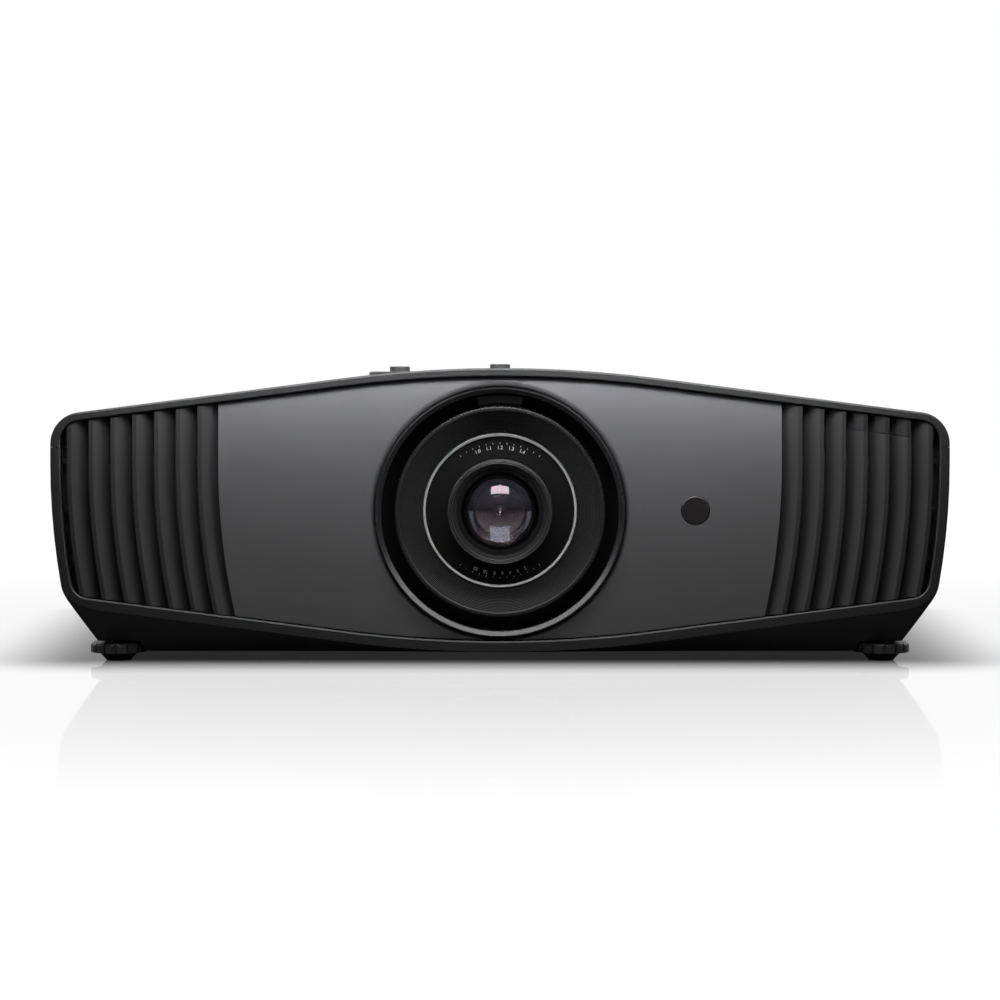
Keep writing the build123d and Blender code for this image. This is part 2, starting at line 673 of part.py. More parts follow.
# ---------------------------------------------------------------- lens
with BuildPart() as lens_bezel:
    add(
        turned(
            (
                (BEZEL_OUTER - 0.4, 0.0),
                (BEZEL_OUTER, 0.4),
                (BEZEL_OUTER, LEDGE_DEPTH),
                (BEZEL_THROAT + BEZEL_WALL, LEDGE_DEPTH),
                (BEZEL_THROAT + BEZEL_WALL, BEZEL_DEPTH),
                (BEZEL_THROAT, BEZEL_DEPTH),
                (BEZEL_THROAT, LEDGE_DEPTH + BEZEL_FLANGE),
                (BEZEL_INNER, LEDGE_DEPTH - 0.5),
                (BEZEL_INNER, BEZEL_CHAMFER),
            )
        )
    )
    # wings that seat on the back of the front panel
    with BuildSketch(lens_at(LEDGE_DEPTH)):
        Circle(BEZEL_THROAT + BEZEL_WALL + BEZEL_WING)
        Rectangle(4 * BEZEL_THROAT, 2 * BEZEL_WING_HALF, mode=Mode.INTERSECT)
        Circle(BEZEL_THROAT + 0.5, mode=Mode.SUBTRACT)
    extrude(amount=-BEZEL_FLANGE)

BORE = BARREL_RADIUS + RUNNING
NECK = FRONT_BARREL_RADIUS + RUNNING
NAME_REAR = BARREL_FRONT + NAME_THICK
BARREL_INNER = BARREL_RADIUS - BARREL_WALL
FLANGE_FRONT = ZOOM_REAR + 0.4
H_PLATE = FLANGE_FRONT + FLANGE_THICK
with BuildPart() as lens_barrel:
    add(
        turned(
            (
                (BARREL_INNER, BARREL_FRONT),
                (BARREL_RADIUS, BARREL_FRONT),
                (BARREL_RADIUS, FLANGE_FRONT),
                (FLANGE_RADIUS, FLANGE_FRONT),
                (FLANGE_RADIUS, H_PLATE),
                (BARREL_RADIUS, H_PLATE),
                (BARREL_RADIUS, BARREL_REAR),
                (ZOOM_GLASS_RADIUS, BARREL_REAR),
                (ZOOM_GLASS_RADIUS, BARREL_REAR - 2.5),
                (BARREL_INNER, BARREL_REAR - 2.5),
                (BARREL_INNER, NAME_REAR + 4),
                (NECK + 2.6, NAME_REAR + 4),
                (NECK + 2.6, FRONT_BARREL_REAR + 2),
                (NECK, FRONT_BARREL_REAR + 2),
                (NECK, NAME_REAR),
                (BARREL_INNER, NAME_REAR),
            )
        )
    )

with BuildPart() as focus_ring:
    add(
        turned(
            (
                (BORE, FOCUS_REAR - 3.4),
                (BORE, FOCUS_REAR),
                (FOCUS_OUTER - 1, FOCUS_REAR),
                (FOCUS_OUTER, FOCUS_REAR - 1),
                (FOCUS_OUTER, FOCUS_FRONT + 0.6),
                (FOCUS_OUTER - 0.6, FOCUS_FRONT),
                (FOCUS_OUTER - FOCUS_RIM, FOCUS_FRONT),
                (CONE_TOP, FOCUS_FRONT + 1.2),
                (BORE + 0.3, FOCUS_REAR - 3.4),
            )
        )
    )

with BuildPart() as zoom_ring:
    add(turned(((BORE, ZOOM_FRONT), (BORE, ZOOM_REAR), (ZOOM_OUTER, ZOOM_REAR), (ZOOM_OUTER, ZOOM_FRONT))))
    with BuildSketch(lens_at(ZOOM_FRONT)):
        with Locations((0, (ZOOM_OUTER + LEVER_TIP_RADIUS) / 2 - 1.5)):
            Rectangle(24, LEVER_TIP_RADIUS - ZOOM_OUTER + 2)
    extrude(amount=ZOOM_FRONT - ZOOM_REAR)
    with BuildSketch(lens_at(LEVER_TIP_FRONT)):
        with BuildLine():
            CenterArc((0, 0), LEVER_TIP_RADIUS, 90 - LEVER_HALF_ANGLE, 2 * LEVER_HALF_ANGLE)
            CenterArc((0, 0), LEVER_TIP_RADIUS - LEVER_TIP_THICK, 90 - LEVER_HALF_ANGLE, 2 * LEVER_HALF_ANGLE)
            for angle in (90 - LEVER_HALF_ANGLE, 90 + LEVER_HALF_ANGLE):
                Line(
                    (LEVER_TIP_RADIUS * cos(radians(angle)), LEVER_TIP_RADIUS * sin(radians(angle))),
                    (
                        (LEVER_TIP_RADIUS - LEVER_TIP_THICK) * cos(radians(angle)),
                        (LEVER_TIP_RADIUS - LEVER_TIP_THICK) * sin(radians(angle)),
                    ),
                )
        make_face()
    extrude(amount=LEVER_TIP_FRONT - ZOOM_REAR)

with BuildPart() as trim_ring:
    add(
        turned(
            (
                (BARREL_RADIUS - 0.3 - TRIM_WIDTH, BARREL_FRONT),
                (BARREL_RADIUS - 0.3, BARREL_FRONT),
                (BARREL_RADIUS - 0.3, BARREL_FRONT - TRIM_THICK + 0.4),
                (BARREL_RADIUS - 0.7, BARREL_FRONT - TRIM_THICK),
                (BARREL_RADIUS - 0.3 - TRIM_WIDTH, BARREL_FRONT - TRIM_THICK + 0.6),
            )
        )
    )

with BuildPart() as name_ring:
    add(
        turned(
            (
                (NAME_INNER, BARREL_FRONT),
                (BARREL_INNER, BARREL_FRONT),
                (BARREL_INNER, NAME_REAR),
                (NAME_INNER, NAME_REAR),
            )
        )
    )

RETAINER_FRONT = FRONT_BARREL_FRONT + 3.2
SEAT = RETAINER_FRONT + RETAINER_THICK
GLASS_BACK = SEAT + GLASS_EDGE
GLASS_CURVE = (GLASS_RADIUS**2 + GLASS_DOME**2) / (2 * GLASS_DOME)
with BuildPart() as front_barrel:
    add(
        turned(
            (
                (FRONT_BARREL_RADIUS - 0.4, FRONT_BARREL_FRONT),
                (FRONT_BARREL_RADIUS, FRONT_BARREL_FRONT + 0.4),
                (FRONT_BARREL_RADIUS, FRONT_BARREL_REAR),
                (INNER_BORE, FRONT_BARREL_REAR),
                (INNER_BORE, GLASS_BACK),
                (RETAINER_OUTER, GLASS_BACK),
                (RETAINER_OUTER, RETAINER_FRONT - 0.4),
                (FRONT_BARREL_RADIUS - 2.3, RETAINER_FRONT - 0.8),
                (FRONT_BARREL_RADIUS - 2.3, FRONT_BARREL_FRONT + 1.0),
                (FRONT_BARREL_RADIUS - 1.5, FRONT_BARREL_FRONT),
            )
        )
    )

with BuildPart() as retaining_ring:
    with BuildSketch(lens_at(RETAINER_FRONT)):
        Circle(RETAINER_OUTER - 0.05)
        Circle(RETAINER_INNER, mode=Mode.SUBTRACT)
        with PolarLocations((RETAINER_OUTER + RETAINER_INNER) / 2, 2, start_angle=90):
            Rectangle(2 * (RETAINER_OUTER - RETAINER_INNER), SPANNER_SLOT, mode=Mode.SUBTRACT)
    extrude(amount=-RETAINER_THICK)
    with BuildSketch(lens_at(SEAT - 0.9)):
        Circle(RETAINER_OUTER - 0.05)
        Circle(RETAINER_INNER, mode=Mode.SUBTRACT)
    extrude(amount=-0.9)

with BuildPart() as front_element:
    with BuildSketch(LENS_PROFILE):
        with BuildLine():
            RadiusArc((0, SEAT - GLASS_DOME), (GLASS_RADIUS, SEAT), GLASS_CURVE)
            Polyline(
                (GLASS_RADIUS, SEAT),
                (RETAINER_OUTER - 0.05, SEAT),
                (RETAINER_OUTER - 0.05, GLASS_BACK),
                (0, GLASS_BACK),
                (0, SEAT - GLASS_DOME),
            )
        make_face()
    revolve(axis=LENS_AXIS)

with BuildPart() as zoom_carrier:
    with BuildSketch(lens_at(ZOOM_CARRIER_FRONT)):
        Circle(BARREL_INNER - RUNNING)
        Circle(ZOOM_GLASS_RADIUS, mode=Mode.SUBTRACT)
    extrude(amount=-ZOOM_CARRIER_LENGTH)
with BuildPart() as zoom_element:
    with BuildSketch(lens_at(ZOOM_CARRIER_FRONT + 4)):
        Circle(ZOOM_GLASS_RADIUS)
    extrude(amount=-8)

# ---------------------------------------------------------------- lens shift
H_ROD = H_PLATE + PLATE_THICK + 4.0
V_PLATE = H_ROD + 3.4
V_BACK = V_PLATE + PLATE_THICK
POST_DEPTH = V_BACK + 5.0
BASE_DEPTH = POST_DEPTH + 7.0
with BuildPart() as horizontal_carriage:
    with BuildSketch(lens_at(H_PLATE)):
        Circle(H_PLATE_RADIUS)
        Circle(BARREL_RADIUS, mode=Mode.SUBTRACT)
    extrude(amount=-PLATE_THICK)
    for sign in (1, -1):
        for x in (20, -20):
            with BuildSketch(lens_at(H_PLATE + PLATE_THICK, x, LENS_Z + sign * H_ROD_OFFSET)):
                Rectangle(16, 9)
            extrude(amount=-7)
            with BuildSketch(across(x - 9, H_ROD, LENS_Z + sign * H_ROD_OFFSET)):
                Circle(ROD_RADIUS + RUNNING)
            extrude(amount=18, mode=Mode.SUBTRACT)
    # arm over the vertical carriage that ends in the rack
    rack_rear = KNOB_DEPTH - PINION_RADIUS - RACK_GAP
    with BuildSketch(level(LENS_Z + ARM_RISE, H_KNOB_X + ARM_WIDTH, (H_PLATE + rack_rear) / 2)):
        Rectangle(ARM_WIDTH, rack_rear - H_PLATE)
    extrude(amount=ARM_THICK)
    web_height = ARM_RISE + ARM_THICK - WEB_LOW
    web_x = H_KNOB_X + ARM_WIDTH / 2 + WEB_WIDTH / 2
    with BuildSketch(lens_at(H_PLATE, web_x, LENS_Z + WEB_LOW + web_height / 2)):
        Rectangle(WEB_WIDTH, web_height)
    extrude(amount=-PLATE_THICK)
    with BuildSketch(level(LENS_Z + ARM_RISE, H_KNOB_X, rack_rear - RACK_WIDTH / 2)):
        Rectangle(RACK_LENGTH, RACK_WIDTH)
    extrude(amount=ARM_THICK)

with BuildPart() as vertical_carriage:
    with BuildSketch(lens_at(V_PLATE)):
        Rectangle(2 * POST_X + 16, 90)
        with Locations((0, 0)):
            Rectangle(2 * H_ROD_HALF + 4, 2 * H_ROD_OFFSET + 12)
        Circle(BARREL_RADIUS + SHIFT_H + 3, mode=Mode.SUBTRACT)
    extrude(amount=-PLATE_THICK)
    for sign in (1, -1):
        for x in (H_ROD_HALF, -H_ROD_HALF):
            with BuildSketch(lens_at(V_PLATE, x, LENS_Z + sign * H_ROD_OFFSET)):
                Rectangle(4, 8)
            extrude(amount=V_PLATE - H_ROD + 2.8)
        with BuildSketch(across(-H_ROD_HALF, H_ROD, LENS_Z + sign * H_ROD_OFFSET)):
            Circle(ROD_RADIUS)
        extrude(amount=2 * H_ROD_HALF)
        for side in (1, -1):
            with BuildSketch(lens_at(V_BACK, side * POST_X, LENS_Z + sign * 36)):
                Rectangle(12, 14)
            extrude(amount=-10)
            with BuildSketch(level(LENS_Z + sign * 36 - 8, side * POST_X, POST_DEPTH)):
                Circle(POST_RADIUS + RUNNING)
            extrude(amount=16, mode=Mode.SUBTRACT)
    # nut for the vertical screw
    with BuildSketch(level(LENS_Z + 51, 0, (V_BACK + KNOB_DEPTH + 5) / 2)):
        Rectangle(14, KNOB_DEPTH + 5 - V_BACK)
    extrude(amount=8)
    with BuildSketch(level(LENS_Z + 50, 0, KNOB_DEPTH)):
        Circle(SCREW_RADIUS + RUNNING)
    extrude(amount=10, mode=Mode.SUBTRACT)

with BuildPart() as shift_base:
    for side in (1, -1):
        with BuildSketch(level(FLOOR_Z, side * POST_X, POST_DEPTH)):
            Circle(POST_RADIUS)
        extrude(amount=138 - FLOOR_Z)
        for z in (FLOOR_Z, 130):
            with BuildSketch(level(z, side * POST_X, POST_DEPTH + 3)):
                Rectangle(14, 16)
            extrude(amount=8)
        with BuildSketch(level(FLOOR_Z, side * POST_X, BASE_DEPTH + 2)):
            Rectangle(14, 4)
        extrude(amount=138 - FLOOR_Z)
    with BuildSketch(level(FLOOR_Z, 0, BASE_DEPTH + 2)):
        Rectangle(2 * POST_X + 14, 10)
    extrude(amount=4)

with BuildPart() as shift_bezel:
    with BuildSketch(level(SHIFT_BEZEL_Z - SHIFT_BEZEL_THICK, H_KNOB_X, KNOB_DEPTH)):
        Circle(SHIFT_BEZEL_RADIUS)
    extrude(amount=SHIFT_BEZEL_THICK)
    chamfer(shift_bezel.edges().group_by(Axis.Z)[-1], 0.6)
    with BuildSketch(level(SHIFT_BEZEL_Z, H_KNOB_X, KNOB_DEPTH)):
        Circle(KNOB_RADIUS + 0.8)
    extrude(amount=-KNOB_SINK, mode=Mode.SUBTRACT)
    with BuildSketch(level(SHIFT_BEZEL_Z, H_KNOB_X, KNOB_DEPTH)):
        Circle(SCREW_RADIUS + RUNNING)
    extrude(amount=-10, mode=Mode.SUBTRACT)

with BuildPart() as horizontal_shift_knob:
    knob_low = SHIFT_BEZEL_Z - KNOB_SINK + CLEARANCE
    with BuildSketch(level(knob_low, H_KNOB_X, KNOB_DEPTH)):
        Circle(KNOB_RADIUS)
    extrude(amount=H_KNOB_TOP - knob_low)
    fillet(horizontal_shift_knob.edges().group_by(Axis.Z)[-1], 0.6)
    # pinion as long as the rack's travel up and down
    pinion_low = LENS_Z + ARM_RISE - SHIFT_V - CLEARANCE
    with BuildSketch(level(pinion_low, H_KNOB_X, KNOB_DEPTH)):
        Circle(SCREW_RADIUS)
    extrude(amount=knob_low - pinion_low)
    with BuildSketch(level(pinion_low, H_KNOB_X, KNOB_DEPTH)):
        Circle(PINION_RADIUS)
    extrude(amount=ARM_THICK + 2 * SHIFT_V + 2 * CLEARANCE)

with BuildPart() as vertical_shift_knob:
    knob_base = V_KNOB_TOP - 5.2 + CLEARANCE
    with BuildSketch(level(knob_base, 0, KNOB_DEPTH)):
        Circle(KNOB_RADIUS)
    extrude(amount=V_KNOB_TOP - knob_base)
    fillet(vertical_shift_knob.edges().group_by(Axis.Z)[-1], 0.6)
    with BuildSketch(level(LENS_Z + 47.4, 0, KNOB_DEPTH)):
        Circle(SCREW_RADIUS)
    extrude(amount=knob_base - LENS_Z - 47.4)


# ---------------------------------------------------------------- feet
def foot_pad(x, depth):
    """Rubber pad under the disc."""
    with BuildPart() as piece:
        with BuildSketch(level(0, x, depth)):
            Circle(FOOT_PAD_LOW)
        with BuildSketch(level(FOOT_DISC_Z, x, depth)):
            Circle(FOOT_PAD_TOP)
        loft()
    return piece


def foot_disc(x, depth):
    """Notched thumb wheel with its threaded stud."""
    with BuildPart() as piece:
        with BuildSketch(level(FOOT_DISC_Z, x, depth)):
            Circle(FOOT_DISC_RADIUS)
        extrude(amount=FOOT_DISC_THICK)
        chamfer(piece.edges().group_by(Axis.Z)[-1], 1.0)
        with BuildSketch(level(FOOT_DISC_Z, x, depth)):
            with PolarLocations(FOOT_DISC_RADIUS, FOOT_NOTCHES, start_angle=6):
                Rectangle(1.8, 1.3)
        extrude(amount=FOOT_DISC_THICK, mode=Mode.SUBTRACT)
        with BuildSketch(level(FOOT_DISC_Z + FOOT_DISC_THICK, x, depth)):
            Circle(FOOT_STUD)
        extrude(amount=POCKET_TOP - FOOT_DISC_Z - FOOT_DISC_THICK + FOOT_BOSS_WALL + FOOT_TRAVEL + 3)
    return piece


FOOT_NAMES = ("front_right", "front_left", "rear_right", "rear_left")
foot_pads = {}
foot_discs = {}
for foot_name, (foot_x, foot_depth) in zip(FOOT_NAMES, FOOT_PLACES):
    foot_pads[foot_name] = foot_pad(foot_x, foot_depth)
    foot_discs[foot_name] = foot_disc(foot_x, foot_depth)


# ---------------------------------------------------------------- fans
def fan_frame(side):
    """Square fan frame against the side of the case; side is 1 for the right."""
    with BuildPart() as piece:
        with BuildSketch(across(side * (FAN_OUTER_X - FAN_THICK / 2) - FAN_THICK / 2, FAN_DEPTH, FAN_Z)):
            RectangleRounded(FAN_SIZE, FAN_SIZE, 4)
            Circle(FAN_BORE, mode=Mode.SUBTRACT)
            with GridLocations(FAN_SIZE - 8, FAN_SIZE - 8, 2, 2):
                Circle(1.8, mode=Mode.SUBTRACT)
        extrude(amount=FAN_THICK)
        inner = FAN_OUTER_X - FAN_THICK if side > 0 else -FAN_OUTER_X + FAN_THICK - 3
        with BuildSketch(across(inner, FAN_DEPTH, FAN_Z)):
            Circle(FAN_HUB)
            for turn in (45, 135):
                Rectangle(2 * FAN_BORE + 1, 4, rotation=turn)
        extrude(amount=3)
        # foot that carries the frame on the case floor
        with BuildSketch(level(FLOOR_Z, side * (FAN_OUTER_X - 1.4 * FAN_THICK), FAN_DEPTH)):
            Rectangle(FAN_THICK, FAN_SIZE - 20)
        extrude(amount=3)
        with BuildSketch(level(FLOOR_Z, side * (FAN_OUTER_X - FAN_THICK + 1.5), FAN_DEPTH)):
            Rectangle(3, FAN_SIZE - 20)
        extrude(amount=FAN_Z - FAN_SIZE / 2 - FLOOR_Z + 1)
    return piece


def fan_rotor(side):
    """Hub and swept blades running in the frame."""
    with BuildPart() as piece:
        start = FAN_OUTER_X - FAN_THICK + 3.6 if side > 0 else -FAN_OUTER_X + 2
        with BuildSketch(across(start, FAN_DEPTH, FAN_Z)):
            Circle(FAN_HUB - 0.5)
        extrude(amount=FAN_THICK - 5.6)
        with BuildSketch(across(start + 3, FAN_DEPTH, FAN_Z)):
            with PolarLocations((FAN_BORE + FAN_HUB) / 2 - 1, FAN_BLADES):
                Rectangle(FAN_BORE - FAN_HUB, 3)
        extrude(amount=FAN_THICK - 11)
        with BuildSketch(across(start - 1, FAN_DEPTH, FAN_Z)):
            Circle(FAN_BORE - 1)
        extrude(amount=FAN_THICK, mode=Mode.INTERSECT)
    return piece


intake_fan_frame = fan_frame(-1)
exhaust_fan_frame = fan_frame(1)
intake_fan_rotor = fan_rotor(-1)
exhaust_fan_rotor = fan_rotor(1)

# ---------------------------------------------------------------- rear panel, sockets, keys
REAR_FACE = CASE_DEPTH - REAR_SETBACK
REAR_INNER = REAR_FACE - REAR_THICK
BOARD_TOP = BOARD_Z + BOARD_THICK
# name: (x, shell width, shell height)
SOCKETS = {
    "hdmi_a": (-100, 19, 9.5),
    "hdmi_b": (-72, 19, 9.5),
    "usb": (-44, 15, 9.5),
    "lan": (-16, 17, 14.5),
    "serial": (22, 32, 13),
    "audio": (62, 11, 11),
    "trigger": (80, 11, 11),
}
KEY_SPOTS = {
    "power_key": (-KEY_SPREAD_X, KEY_SPREAD_Z),
    "source_key": (KEY_SPREAD_X, KEY_SPREAD_Z),
    "menu_key": (-KEY_SPREAD_X, -KEY_SPREAD_Z),
    "back_key": (KEY_SPREAD_X, -KEY_SPREAD_Z),
}


def rear_at(depth, x=0.0, z=0.0):
    """Plane facing the rear at a depth: local x is -X, local y is Z."""
    return Plane(origin=(x, Y_FRONT + depth, z), x_dir=(-1, 0, 0), z_dir=(0, 1, 0))


with BuildPart() as rear_panel:
    extrude(case_section(REAR_INNER, WALL + CLEARANCE), amount=-REAR_THICK)
    for x, width, height in SOCKETS.values():
        with BuildSketch(rear_at(REAR_INNER - 1, x, BOARD_TOP + height / 2)):
            Rectangle(width + 0.4, height + 0.4)
        extrude(amount=REAR_THICK + 2, mode=Mode.SUBTRACT)
    with BuildSketch(rear_at(REAR_INNER - 1, AC_X, AC_Z)):
        Rectangle(28 + 0.4, 21 + 0.4)
    extrude(amount=REAR_THICK + 2, mode=Mode.SUBTRACT)
    with BuildSketch(rear_at(REAR_INNER - 1, KEYPAD_X, KEYPAD_Z)):
        RectangleRounded(2 * KEY_SPREAD_X + 18, 2 * KEY_SPREAD_Z + 18, 4)
    extrude(amount=REAR_THICK + 2, mode=Mode.SUBTRACT)
    with BuildSketch(rear_at(REAR_INNER - 1, 0, 100)):
        with GridLocations(7, 1, 20, 1):
            SlotOverall(44, 4.2, rotation=90)
    extrude(amount=REAR_THICK + 2, mode=Mode.SUBTRACT)


def socket(names, hole):
    """Connector shells on the board that reach through the rear panel, each with its hole."""
    with BuildPart() as piece:
        for name in names:
            x, width, height = SOCKETS[name]
            with BuildSketch(rear_at(REAR_INNER - 12, x, BOARD_TOP + height / 2)):
                Rectangle(width, height)
            extrude(amount=REAR_THICK + 12.6)
            with BuildSketch(rear_at(REAR_FACE + 0.6, x, BOARD_TOP + height / 2)):
                if hole == "round":
                    Circle((height - 5) / 2 + 0.5)
                else:
                    Rectangle(width - 2.4, height - 2.4)
            extrude(amount=-11, mode=Mode.SUBTRACT)
            if hole == "tongue":
                with BuildSketch(rear_at(REAR_INNER - 10, x, BOARD_TOP + height / 2 + 1.9)):
                    Rectangle(width - 6, 1.6)
                extrude(amount=11)
    return piece


hdmi_sockets = socket(("hdmi_a", "hdmi_b"), "tongue")
usb_socket = socket(("usb",), "tongue")
lan_socket = socket(("lan",), "square")
serial_socket = socket(("serial",), "square")
audio_jacks = socket(("audio", "trigger"), "round")

with BuildPart() as ac_inlet:
    with BuildSketch(rear_at(REAR_FACE, AC_X, AC_Z)):
        RectangleRounded(34, 27, 3)
    extrude(amount=1.6)
    with BuildSketch(rear_at(REAR_INNER - 16, AC_X, AC_Z)):
        Rectangle(28, 21)
    extrude(amount=REAR_THICK + 16)
    with BuildSketch(rear_at(REAR_FACE + 1.6, AC_X, AC_Z)):
        Rectangle(24.6, 17)
    extrude(amount=-16, mode=Mode.SUBTRACT)
    with BuildSketch(rear_at(REAR_INNER - 14.5, AC_X, AC_Z)):
        with Locations((-7, -2), (7, -2), (0, 3)):
            Rectangle(2, 4.5)
    extrude(amount=15)

KEY_FACE = REAR_FACE + KEYPAD_THICK
with BuildPart() as keypad_bezel:
    with BuildSketch(rear_at(REAR_FACE, KEYPAD_X, KEYPAD_Z)):
        RectangleRounded(2 * KEY_SPREAD_X + 24, 2 * KEY_SPREAD_Z + 24, 6)
        Circle(NAV_OUTER + CLEARANCE, mode=Mode.SUBTRACT)
        with Locations(*KEY_SPOTS.values()):
            Circle(KEY_RADIUS + CLEARANCE, mode=Mode.SUBTRACT)
    extrude(amount=KEYPAD_THICK)
    # tray behind the keys
    with BuildSketch(rear_at(REAR_INNER - 2, KEYPAD_X, KEYPAD_Z)):
        RectangleRounded(2 * KEY_SPREAD_X + 17, 2 * KEY_SPREAD_Z + 17, 3.5)
    extrude(amount=REAR_THICK + 2)
    with BuildSketch(rear_at(REAR_INNER, KEYPAD_X, KEYPAD_Z)):
        RectangleRounded(2 * KEY_SPREAD_X + 14, 2 * KEY_SPREAD_Z + 14, 2)
    extrude(amount=REAR_THICK, mode=Mode.SUBTRACT)

KEY_REAR = REAR_INNER + KEY_TRAVEL + 0.4


def key(x, z, radius, bore=0.0):
    """Key cap with the flange that keeps it behind the keypad plate."""
    with BuildPart() as piece:
        with BuildSketch(rear_at(KEY_REAR, KEYPAD_X - x, KEYPAD_Z + z)):
            Circle(radius + 1)
            if bore:
                Circle(bore - 0.6, mode=Mode.SUBTRACT)
        extrude(amount=REAR_FACE - 0.05 - KEY_REAR)
        with BuildSketch(rear_at(KEY_REAR, KEYPAD_X - x, KEYPAD_Z + z)):
            Circle(radius)
            if bore:
                Circle(bore, mode=Mode.SUBTRACT)
        extrude(amount=KEY_FACE + KEY_PROUD - KEY_REAR)
        fillet(piece.edges().group_by(Axis.Y)[-1], 0.4)
    return piece


keys = {name: key(x, z, KEY_RADIUS) for name, (x, z) in KEY_SPOTS.items()}
keys["navigation_ring"] = key(0, 0, NAV_OUTER, NAV_INNER + CLEARANCE)
with BuildPart() as enter_key:
    with BuildSketch(rear_at(KEY_REAR, KEYPAD_X, KEYPAD_Z)):
        Circle(NAV_INNER - 0.6)
    extrude(amount=KEY_FACE + KEY_PROUD - KEY_REAR)
    fillet(enter_key.edges().group_by(Axis.Y)[-1], 0.4)

with BuildPart() as main_board:
    with BuildSketch(level(BOARD_Z, 0, (BOARD_FRONT + REAR_INNER - 1) / 2)):
        Rectangle(2 * BOARD_HALF, REAR_INNER - 1 - BOARD_FRONT)
    extrude(amount=BOARD_THICK)
    for x, depth, size, tall in ((-40, 262, 34, 6), (40, 262, 26, 4), (0, 300, 18, 3)):
        with BuildSketch(level(BOARD_TOP, x, depth)):
            Rectangle(size, size)
        extrude(amount=tall)

# ---------------------------------------------------------------- lamp, light engine, power
with BuildPart() as lamp_cover:
    with BuildSketch(level(CASE_BOTTOM, LAMP_X, LAMP_DEPTH)):
        RectangleRounded(2 * LAMP_HALF_X, 2 * LAMP_HALF_Y, 4 - CLEARANCE)
    extrude(amount=WALL)
with BuildPart() as lamp_module:
    with BuildSketch(level(FLOOR_Z, LAMP_X, LAMP_DEPTH)):
        Rectangle(2 * LAMP_HALF_X - 8, 2 * LAMP_HALF_Y - 8)
    extrude(amount=LAMP_HEIGHT)
    chamfer(lamp_module.edges().group_by(Axis.Z)[-1], 6)

with BuildPart() as light_engine:
    with BuildSketch(level(FLOOR_Z, 0, ENGINE_FRONT + ENGINE_LENGTH / 2)):
        Rectangle(2 * ENGINE_HALF - 24, ENGINE_LENGTH - 20)
    extrude(amount=ENGINE_LOW - FLOOR_Z)
    with BuildSketch(level(ENGINE_LOW, 0, ENGINE_FRONT + ENGINE_LENGTH / 2)):
        Rectangle(2 * ENGINE_HALF, ENGINE_LENGTH)
    extrude(amount=ENGINE_HIGH - ENGINE_LOW)
    fillet(light_engine.edges().group_by(Axis.Z)[-1], 4)
    # slot that the colour wheel runs in
    with BuildSketch(across(ENGINE_HALF - 14, ENGINE_FRONT + ENGINE_LENGTH - 30, ENGINE_HIGH - 20)):
        Circle(WHEEL_RADIUS + 2)
    extrude(amount=8, mode=Mode.SUBTRACT)

with BuildPart() as colour_wheel:
    with BuildSketch(across(ENGINE_HALF - 10.6, ENGINE_FRONT + ENGINE_LENGTH - 30, ENGINE_HIGH - 20)):
        Circle(WHEEL_RADIUS)
    extrude(amount=WHEEL_THICK)
    with BuildSketch(across(ENGINE_HALF - 13.7, ENGINE_FRONT + ENGINE_LENGTH - 30, ENGINE_HIGH - 20)):
        Circle(WHEEL_HUB)
    extrude(amount=7.4)

with BuildPart() as power_supply:
    with BuildSketch(level(FLOOR_Z, POWER_X, POWER_DEPTH)):
        Rectangle(60, 110)
    extrude(amount=15)
    with BuildSketch(level(FLOOR_Z + 15, POWER_X, POWER_DEPTH)):
        with GridLocations(26, 34, 2, 3):
            Circle(10)
    extrude(amount=24)

# ---------------------------------------------------------------- finished pieces
os.makedirs("parts", exist_ok=True)
finished = {
    "top_cover": top_cover,
    "bottom_case": bottom_case,
    "mount_inserts": mount_inserts,
    "front_panel": front_panel,
    "ir_window": ir_window,
    "left_louver": left_louver,
    "right_louver": right_louver,
    "status_windows": status_windows,
    "side_grille_left": side_grille_left,
    "side_grille_right": side_grille_right,
    "lens_bezel": lens_bezel,
    "lens_barrel": lens_barrel,
    "focus_ring": focus_ring,
    "zoom_ring": zoom_ring,
    "trim_ring": trim_ring,
    "name_ring": name_ring,
    "front_barrel": front_barrel,
    "retaining_ring": retaining_ring,
    "front_element": front_element,
    "zoom_carrier": zoom_carrier,
    "zoom_element": zoom_element,
    "horizontal_carriage": horizontal_carriage,
    "vertical_carriage": vertical_carriage,
    "shift_base": shift_base,
    "shift_bezel": shift_bezel,
    "horizontal_shift_knob": horizontal_shift_knob,
    "vertical_shift_knob": vertical_shift_knob,
    "intake_fan_frame": intake_fan_frame,
    "intake_fan_rotor": intake_fan_rotor,
    "exhaust_fan_frame": exhaust_fan_frame,
    "exhaust_fan_rotor": exhaust_fan_rotor,
    "rear_panel": rear_panel,
    "hdmi_sockets": hdmi_sockets,
    "usb_socket": usb_socket,
    "lan_socket": lan_socket,
    "serial_socket": serial_socket,
    "audio_jacks": audio_jacks,
    "ac_inlet": ac_inlet,
    "keypad_bezel": keypad_bezel,
    "enter_key": enter_key,
    "main_board": main_board,
    "lamp_cover": lamp_cover,
    "lamp_module": lamp_module,
    "light_engine": light_engine,
    "colour_wheel": colour_wheel,
    "power_supply": power_supply,
}
for foot_name in FOOT_NAMES:
    finished[f"foot_pad_{foot_name}"] = foot_pads[foot_name]
    finished[f"foot_disc_{foot_name}"] = foot_discs[foot_name]
finished.update(keys)

for name, piece in finished.items():
    piece.part.label = name
    export_step(piece.part, f"parts/{name}.step")
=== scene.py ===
"""Home projector: finishes, fine lens parts, fixings and the studio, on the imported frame."""
import math

